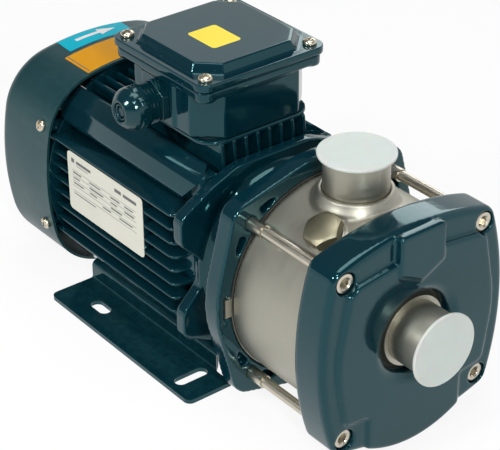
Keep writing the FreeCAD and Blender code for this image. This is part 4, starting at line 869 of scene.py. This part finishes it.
def arcThrough(a, b, c, steps):
    # Points on the circle through three points, the last left out.
    (ax, ay), (bx, by), (cx, cy) = a, b, c
    d = 2 * (ax * (by - cy) + bx * (cy - ay) + cx * (ay - by))
    sa, sb, sc = ax * ax + ay * ay, bx * bx + by * by, cx * cx + cy * cy
    ox = (sa * (by - cy) + sb * (cy - ay) + sc * (ay - by)) / d
    oy = (sa * (cx - bx) + sb * (ax - cx) + sc * (bx - ax)) / d
    start = math.atan2(ay - oy, ax - ox)
    turn = (math.atan2(cy - oy, cx - ox) - start + math.pi) % (2 * math.pi) - math.pi
    r = math.hypot(ax - ox, ay - oy)
    turns = [start + turn * i / steps for i in range(steps)]
    return [(ox + r * math.cos(t), oy + r * math.sin(t)) for t in turns]


def bowedOutline(reach, half, cornerR, cornerTurn):
    # Four round corners joined by four sides that bow outwards to the reach.
    chord = half + cornerR * math.cos(math.radians(cornerTurn))
    low = half + cornerR * math.sin(math.radians(cornerTurn))
    q = half + cornerR * math.cos(math.pi / 4)
    quarter = arcThrough((chord, -low), (reach, 0), (chord, low), 20)
    quarter += arcThrough((chord, low), (q, q), (low, chord), 8)
    out = []
    for turn in range(4):
        for y, up in quarter:
            for i in range(turn):
                y, up = -up, y
            out.append((y, up))
    return out


def rodX(r, x0, x1, y=0, up=0):
    return turnedX("rod", [(x0, 0), (x0, r), (x1, r), (x1, 0)], 96, y, up)


def makeSuctionCover():
    c = cover
    back = c["back"]
    front = c["front"]
    inside = c["inside"]
    half = c["half"]
    border = front - c["step"]
    outline = bowedOutline(c["side"], half, c["lugR"], c["lugTurn"])
    block = prismMesh("coverBlock", outline, back, front + 4, acrossX)
    # The wedge leaves a border that comes forward towards the lower bolts.
    tilt = c["rise"] / (2 * half)
    reach = 100
    slope = [(border - tilt * (reach - half), reach), (border + 40, reach), (border + 40, -reach),
             (border + tilt * (reach + half), -reach)]
    wedge = prismMesh("wedge", slope, -reach, reach, lambda u, v, w: (u, w, axisH + v))
    block = bevelled(cutBy(block, [wedge]), c["edge"], 5, 50)
    middle = prismMesh("coverMiddle", roundedOutline(c["middle"], c["middleR"]), border - 6, front, acrossX)
    middle = bevelled(cutBy(middle, [rodX(c["bottomR"], border - 8, front + 2)], "INTERSECT"), 2.4, 4, 50)
    outline = rectangle(-c["bottomHalf"], c["bottomHalf"], -30, c["bottomReach"])
    apron = prismMesh("apron", outline, back, border, acrossX)
    apron = cutBy(apron, [rodX(c["bottomR"], back - 1, border + 1)], "INTERSECT")
    pad = prismMesh("coverPad", roundedOutline(c["pad"], 2.0), border - 1, front + c["padRise"], acrossX)
    whole = cutBy(block, [middle, apron, bevelled(pad, 1.2, 3, 50)], "UNION")
    r = c["openingR"]
    dish = [(inside - 1, 0), (inside - 1, r)] + [(front + x, r + beyond) for x, beyond in c["dish"]]
    dish.append((dish[-1][0], 0))
    cutters = [rodX(c["innerR"], back - 1, inside), turnedX("dish", dish)]
    for sy in (-1, 1):
        for su in (-1, 1):
            cutters.append(rodX(c["holeR"], inside - 8, front + 1, sy * half, su * half))
            cutters.append(rodX(c["pocketR"], c["seats"][su], front + 2, sy * half, su * half))
    whole = softened(cutBy(whole, cutters), c["voxel"], c["passes"])
    whole.name = "suctionCover"
    replacing(whole, "tealEnamel", "suction_cover")
    print("stage: suctionCover", len(whole.data.polygons), "faces")


makeSuctionCover()


# Sheet and moulded pieces taken from the construction: name, finish and the angle of a sharp edge

sheetPieces = {
    "fan_cover": ("fanCover", "coverEnamel", 25),
    "foot_bracket": ("footBracket", "tealEnamel", 25),
    "rear_shield": ("rearShield", "tealEnamel", 30),
    "blanking_plug": ("blankingPlug", "palePlastic", 30),
    "cooling_fan": ("coolingFan", "darkMoulding", 30),
    "inlet_plate": ("inletPlate", "stainless", 25),
    "seal_plate": ("sealPlate", "stainless", 25),
    "stay_bolt_sleeves": ("stayBoltSleeves", "brightBolt", 30),
    "priming_plug": ("primingPlug", "plugMetal", 12),
    "drain_plug": ("drainPlug", "plugMetal", 12),
    "bracket_screws": ("bracketScrews", "brightBolt", 30),
    "lid_gasket": ("lidGasket", "tealEnamel", 30),
}
for nodeName, (pieceName, finish, angle) in sheetPieces.items():
    replacing(smoothed(cadCopy(nodeName, pieceName), angle), finish, nodeName)
print("stage: sheet and moulded pieces")


# Ports

port = {
    "r": 20.6, "bore": 15.15, "mouthR": 17.0, "mouthL": 6.0, "capR": 24.3, "capT": 2.0, "stub": 5.0,
    "dischargeX": 78.0, "dischargeStart": 62.0, "dischargeTop": 97.5,
    "suctionStart": 125.0, "suctionFace": 158.1,
}


def makeNozzle(name, finish, base, out, start, end, node):
    p = port
    ledge = end - p["mouthL"]
    profile = easedProfile([(start, p["bore"]), (start, p["r"]), (end, p["r"]), (end, p["mouthR"]),
                            (ledge, p["mouthR"]), (ledge, p["bore"])], 0.7)
    replacing(smoothed(turnedMesh(name, profile, base, out, 112), 40), finish, node)


def makeCap(name, base, out, node):
    # A dished disc with a stub that holds in the port's mouth.
    p = port
    wall = p["mouthR"] - 0.1
    top = p["capT"]
    profile = [(-p["stub"], wall - 1.5), (-p["stub"], wall), (0, wall), (0, p["capR"]), (top, p["capR"]),
               (top - 0.35, p["capR"] - 3.0), (top - 0.5, 0), (0.6, 0), (0.2, wall - 1.5)]
    piece = turnedMesh(name, easedProfile(profile, 0.5), base, out)
    replacing(smoothed(piece, 40), "palePlastic", node)


def makePorts():
    p = port
    up = (0, 0, 1)
    ahead = (1, 0, 0)
    # The discharge nozzle takes the darker copy of the stainless: painted shade on the same steel.
    makeNozzle("dischargeNozzle", "stainlessUpright", (p["dischargeX"], 0, axisH), up, p["dischargeStart"],
               p["dischargeTop"], "discharge_nozzle")
    makeNozzle("suctionNozzle", "stainless", (0, 0, axisH), ahead, p["suctionStart"], p["suctionFace"],
               "suction_nozzle")
    makeCap("dischargeCap", (p["dischargeX"], 0, axisH + p["dischargeTop"]), up, "discharge_cap")
    makeCap("suctionCap", (p["suctionFace"], 0, axisH), ahead, "suction_cap")


makePorts()
print("stage: ports")


# Screws

def crossScrewItem(headR, headH, shankR, shankL):
    # Domed head with a cross in it.
    profile = [(-shankL, 0), (-shankL, shankR), (-0.1, shankR), (-0.1, headR - 0.2), (0.2, headR)]
    for i in range(6):
        t = i / 5 * math.pi / 2
        profile.append((headH * (0.4 + 0.6 * math.sin(t)), headR * math.cos(t * 0.80)))
    profile.append((headH, 0))
    screw = smoothed(turnedMesh("screwItem", profile, (0, 0, 0), (0, 0, 1), 40), 35)
    arm = headR * 0.58
    half = headR * 0.11
    bars = [prismMesh("bar", rectangle(-long, long, -wide, wide), headH * 0.45, headH + 1)
            for long, wide in ((arm, half), (half, arm))]
    return smoothed(cutBy(screw, bars), 35)


def socketScrewItem(headR, headH, key):
    # Socket head: a bevelled rim, a hexagon well and a flat floor in it.
    steps = 48
    work = bmesh.new()
    levels = [(-0.1, headR), (headH - 0.8, headR), (headH - 0.25, headR - 0.22), (headH, headR - 0.75),
              (headH, key * 0.5 + 1.2), (headH - 0.5, key * 0.5 + 0.62), (headH - 0.9, 0), (headH - 4.0, 0)]
    rings = []
    for h, r in levels:
        ring = []
        for i in range(steps):
            a = 2 * math.pi * i / steps
            reach = r or key / 2 / math.cos((a + math.pi / 6) % (math.pi / 3) - math.pi / 6)
            ring.append(work.verts.new(Vector((reach * math.cos(a), reach * math.sin(a), h)) * mm))
        rings.append(ring)
    for first, second in zip(rings, rings[1:]):
        for i in range(steps):
            j = (i + 1) % steps
            work.faces.new((first[i], first[j], second[j], second[i]))
    work.faces.new(rings[-1])
    work.faces.new(rings[0])
    return smoothed(closed("socketItem", work), 30)


# Twist is the first screw's turn and the step to the next, in degrees.
screws = {
    "lid": {"half": 41.4, "x": -57.2, "seatAbove": 5.0, "head": (4.6, 3.4, 2.5, 12.5), "twist": (25, 37)},
    "fanCover": {"x": -162.5, "head": (4.2, 3.0, 2.0, 10.0), "twist": (15, 50),
                 "upper": (72.08, 42.0, 16.8), "lower": (73.88, -34.0, -10.5)},
    "stay": {"half": 55.013, "head": (6.4, 8.0, 6.0), "twist": (20, 23),
             "threadStart": 32.0, "threadEnd": 45.5, "threadR": 4.0, "r": 3.4},
}


def twisted(places, twist):
    return [(place, out, twist[0] + twist[1] * i) for i, (place, out) in enumerate(places)]


def makeCrossScrews(name, s, places, node):
    piece = repeated(name, crossScrewItem(*s["head"]), twisted(places, s["twist"]), "zincSteel")
    replacing(piece, "zincSteel", node)


def makeScrews():
    s = screws["lid"]
    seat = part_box("terminal_lid")[0].z / mm + s["seatAbove"]
    corners = ((1, 1), (-1, 1), (-1, -1), (1, -1))
    places = [((s["x"] + sx * s["half"], sy * s["half"], seat), (0, 0, 1)) for sx, sy in corners]
    makeCrossScrews("lidScrews", s, places, "lid_screws")
    s = screws["fanCover"]
    places = []
    for sy in (-1, 1):
        for y, up, lean in (s["upper"], s["lower"]):
            a = math.radians(lean)
            places.append(((s["x"], sy * y, axisH + up), (0, sy * math.cos(a), math.sin(a))))
    makeCrossScrews("fanCoverScrews", s, places, "fan_cover_screws")
    s = screws["stay"]
    corners = [(sy * s["half"], su) for su in (1, -1) for sy in (-1, 1)]
    places = [((cover["seats"][su], y, axisH + su * s["half"]), (1, 0, 0)) for y, su in corners]
    heads = repeated("stayHeads", socketScrewItem(*s["head"]), twisted(places, s["twist"]), "brightBolt")
    start = s["threadStart"]
    thread = s["threadEnd"] - start
    length = cover["seats"][1] - start + 1
    profile = [(0, 0), (0, s["threadR"]), (thread, s["threadR"]), (thread, s["r"]), (length, s["r"]),
               (length, 0)]
    rod = smoothed(turnedMesh("rodItem", easedProfile(profile, 0.3), (0, 0, 0), (0, 0, 1), 32), 40)
    places = [((start, y, axisH + su * s["half"]), (1, 0, 0), 0) for y, su in corners]
    bolts = smoothed(joinedMesh("stayBolts", [heads, repeated("stayRods", rod, places, "brightBolt")]), 32)
    replacing(bolts, "brightBolt", "stay_bolts")


makeScrews()
print("stage: screws")


# Cable gland: ribbed body with a collar, rounded nut with a grip, and a stepped insert

gland = {
    "place": (-59.5, -47.5, 174.5), "acrossFlats": 27.0, "collar": 5.0,
    "body": [(-9, 0), (-9, 10.0), (0, 10.0), (0, 12.6), (5.6, 12.6), (6.0, 13.5), (6.6, 13.5), (7.0, 12.4),
             (8.2, 12.4), (8.6, 13.5), (9.2, 13.5), (9.6, 12.4), (10.8, 12.4), (11.2, 13.5), (11.8, 13.5),
             (12.2, 12.6), (13, 12.6), (13, 9.5), (20, 9.5), (20, 7.4), (-9, 7.4)],
    "nutStart": 13.3, "grip": (0.4, 8.0), "gripShare": 1.04,
    "nut": [(0, 9.8), (0, 13.6), (0.6, 14.1), (6.0, 14.3), (9.0, 14.0), (11.2, 13.0), (13.2, 11.4),
            (15.0, 9.4), (15.9, 8.2), (16, 7.2), (15.4, 6.3), (14, 6.0), (10, 6.0), (10, 9.8)],
    "crown": [(-1, 0), (-1, 14.9), (6.4, 14.9), (8.2, 13.4), (8.2, 0)],
    "hole": [(-2, 0), (-2, 9.8), (9, 9.8), (9, 0)],
    "insert": [(17.5, 0), (17.5, 5.9), (27.0, 5.9), (28.2, 5.3), (28.4, 4.6), (27.6, 4.1), (26.2, 3.9),
               (26.2, 3.2), (27.4, 2.9), (27.7, 2.2), (27.2, 1.2), (27.0, 0)],
}


def makeGland():
    g = gland
    x, y, z = g["place"]
    start = g["nutStart"]
    corner = g["acrossFlats"] / 2 / math.cos(math.pi / 6)
    turns = [math.radians(60 * i + 30) for i in range(6)]
    corners = [(corner * math.cos(t), corner * math.sin(t)) for t in turns]

    def outward(u, v, w):
        return x + u, y - w, z + v

    def turned(name, profile, ahead=0.0, steps=72):
        return turnedMesh(name, profile, (x, y - ahead, z), (0, -1, 0), steps)

    collar = prismMesh("collar", roundedOutline(corners, 1.2, 3), 0.0, g["collar"], outward)
    body = joinedMesh("glandBody", [smoothed(turned("ribs", g["body"]), 30), bevelled(collar, 0.5)])
    replacing(body, "paintedPlastic", "gland_body")
    barrel = smoothed(turned("nutBarrel", easedProfile(g["nut"], 0.4), start, 96), 35)
    outline = roundedOutline([(u * g["gripShare"], v * g["gripShare"]) for u, v in corners], 1.0, 3)
    grip = prismMesh("grip", outline, start + g["grip"][0], start + g["grip"][1], outward)
    grip = cutBy(grip, [turned("crown", g["crown"], start)], "INTERSECT")
    grip = cutBy(grip, [turned("hole", g["hole"], start)])
    nut = smoothed(joinedMesh("glandNut", [barrel, bevelled(grip, 0.3)]), 30)
    replacing(nut, "paintedPlastic", "gland_nut")
    insert = smoothed(turned("glandInsert", easedProfile(g["insert"], 0.25), 0.0, 64), 40)
    replacing(insert, "paintedPlastic", "gland_seal")


makeGland()
print("stage: cable gland")


# Rating plate with ruled bars, and stickers that follow the bowed top of the fan cover

plate = {
    "thick": 0.7, "cornerR": 3.2, "drawnWide": 81.0, "sunk": 0.05, "proud": 0.03,
    # bars as (from rear, from top, length, height) in millimetres
    "bars": [(4.5, 4.0, 3.4, 3.2), (10.0, 4.6, 16.0, 2.2), (10.0, 8.0, 13.0, 0.5), (52.0, 5.2, 7.0, 2.6),
             (61.0, 5.4, 14.0, 2.4), *[(5.0, top, 69.0, 0.28) for top in (12.5, 16.5, 20.5, 24.5, 28.5)],
             (6.0, 13.8, 9.0, 1.3), (24.0, 13.9, 12.0, 1.1), (47.0, 13.8, 10.0, 1.3), (62.0, 13.9, 9.0, 1.1),
             (6.0, 17.9, 7.0, 1.1), (24.0, 17.8, 15.0, 1.3), (47.0, 17.9, 7.0, 1.1), (62.0, 17.8, 10.0, 1.3),
             (6.0, 21.9, 11.0, 1.1), (24.0, 21.9, 8.0, 1.1), (47.0, 21.8, 12.0, 1.3), (6.0, 30.2, 24.0, 0.8),
             (38.0, 25.8, 9.0, 1.1), (56.0, 25.8, 14.0, 1.1)],
}


def makePlate():
    p = plate
    low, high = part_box("nameplate")
    x0, x1, z0, z1 = low.x / mm, high.x / mm, low.z / mm, high.z / mm
    back = high.y / mm

    def outward(u, v, w):
        return u, back - w, v

    outline = roundedOutline(rectangle(x0, x1, z0, z1), p["cornerR"], 8)
    sheet = prismMesh("nameplate_face", outline, 0.0, p["thick"], outward)
    replacing(bevelled(sheet, 0.22, 3, 40), "labelFoil", "nameplate")
    share = (x1 - x0) / p["drawnWide"]
    bars = []
    for start, top, length, height in p["bars"]:
        outline = rectangle(x0 + start * share, x0 + (start + length) * share, z1 - top - height, z1 - top)
        bars.append(prismMesh("bar", outline, p["thick"] - p["sunk"], p["thick"] + p["proud"], outward))
    dressed(joinedMesh("plateLines", bars), "labelInk", "nameplate")


# Outlines are (across by arc length, along the shaft), with finish, level and corner radius.
stickers = {
    "teal": ([(-28.6, -208.4), (25.4, -207.8), (24.6, -188.9), (-29.3, -188.9)], "tealFilm", 0, 0.5),
    "arrow": ([(-18, -200.8), (1.5, -200.8), (1.5, -203.9), (15.5, -199.2), (1.5, -194.5), (1.5, -197.6),
               (-18, -197.6)], "whiteFilm", 1, 0.1),
    "amber": ([(-36.9, -184.9), (6.0, -184.9), (6.0, -155.8), (-37.2, -155.2)], "amberFilm", 0, 0.5),
    "amberLine": ([(-35.0, -184.0), (-34.3, -184.0), (-34.7, -157.0), (-35.4, -157.0)], "labelInk", 1, 0.1),
}
film = {
    "bowR": 186.67, "bowCentre": -109.67, "lift": 0.04, "thick": 0.12,
    "cutPitch": 2.5, "cuts": 15, "cutX": -183,
    "lidPatch": (-66.5, -38.0, -18.0, 4.5), "lidPatchR": 2.5, "lidPatchSunk": 0.1,
}


def onBow(tree, t, x, lift):
    # A point above the fan cover's own surface, by arc length across and place along the shaft.
    turn = t / film["bowR"]
    out = Vector((0, math.sin(turn), math.cos(turn)))
    middle = Vector((x, 0, axisH + film["bowCentre"])) * mm
    hit = tree.ray_cast(middle + out * (film["bowR"] + 20) * mm, -out)[0]
    return (hit or middle + out * film["bowR"] * mm) + out * lift * mm


def makeStickers():
    f = film
    tree = BVHTree.FromObject(bpy.data.objects["fanCover"], bpy.context.evaluated_depsgraph_get())
    for name, (points, finish, level, cornerR) in stickers.items():
        work = bmesh.new()
        work.faces.new([work.verts.new((t, x, 0)) for t, x in roundedOutline(points, cornerR, 3)])
        for k in range(-f["cuts"], f["cuts"] + 1):
            away = k * f["cutPitch"]
            for place, normal in (((away, 0, 0), (1, 0, 0)), ((0, away + f["cutX"], 0), (0, 1, 0))):
                bmesh.ops.bisect_plane(work, geom=work.verts[:] + work.edges[:] + work.faces[:],
                                       plane_co=place, plane_no=normal)
        low = f["lift"] + level * f["thick"]
        top = bmesh.ops.extrude_face_region(work, geom=work.faces[:])["geom"]
        raised = {v for v in top if isinstance(v, bmesh.types.BMVert)}
        for v in work.verts:
            v.co = onBow(tree, v.co.x, v.co.y, low + (f["thick"] if v in raised else 0.0))
        dressed(smoothed(closed(name + "Sticker", work), 30), finish, "fan_cover")
    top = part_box("terminal_lid")[1].z / mm
    outline = roundedOutline(rectangle(*f["lidPatch"]), f["lidPatchR"], 5)
    patch = prismMesh("yellowSticker", outline, top - f["lidPatchSunk"], top + f["lift"])
    dressed(patch, "yellowFilm", "terminal_lid")


makePlate()
makeStickers()
print("stage: rating plate and stickers")
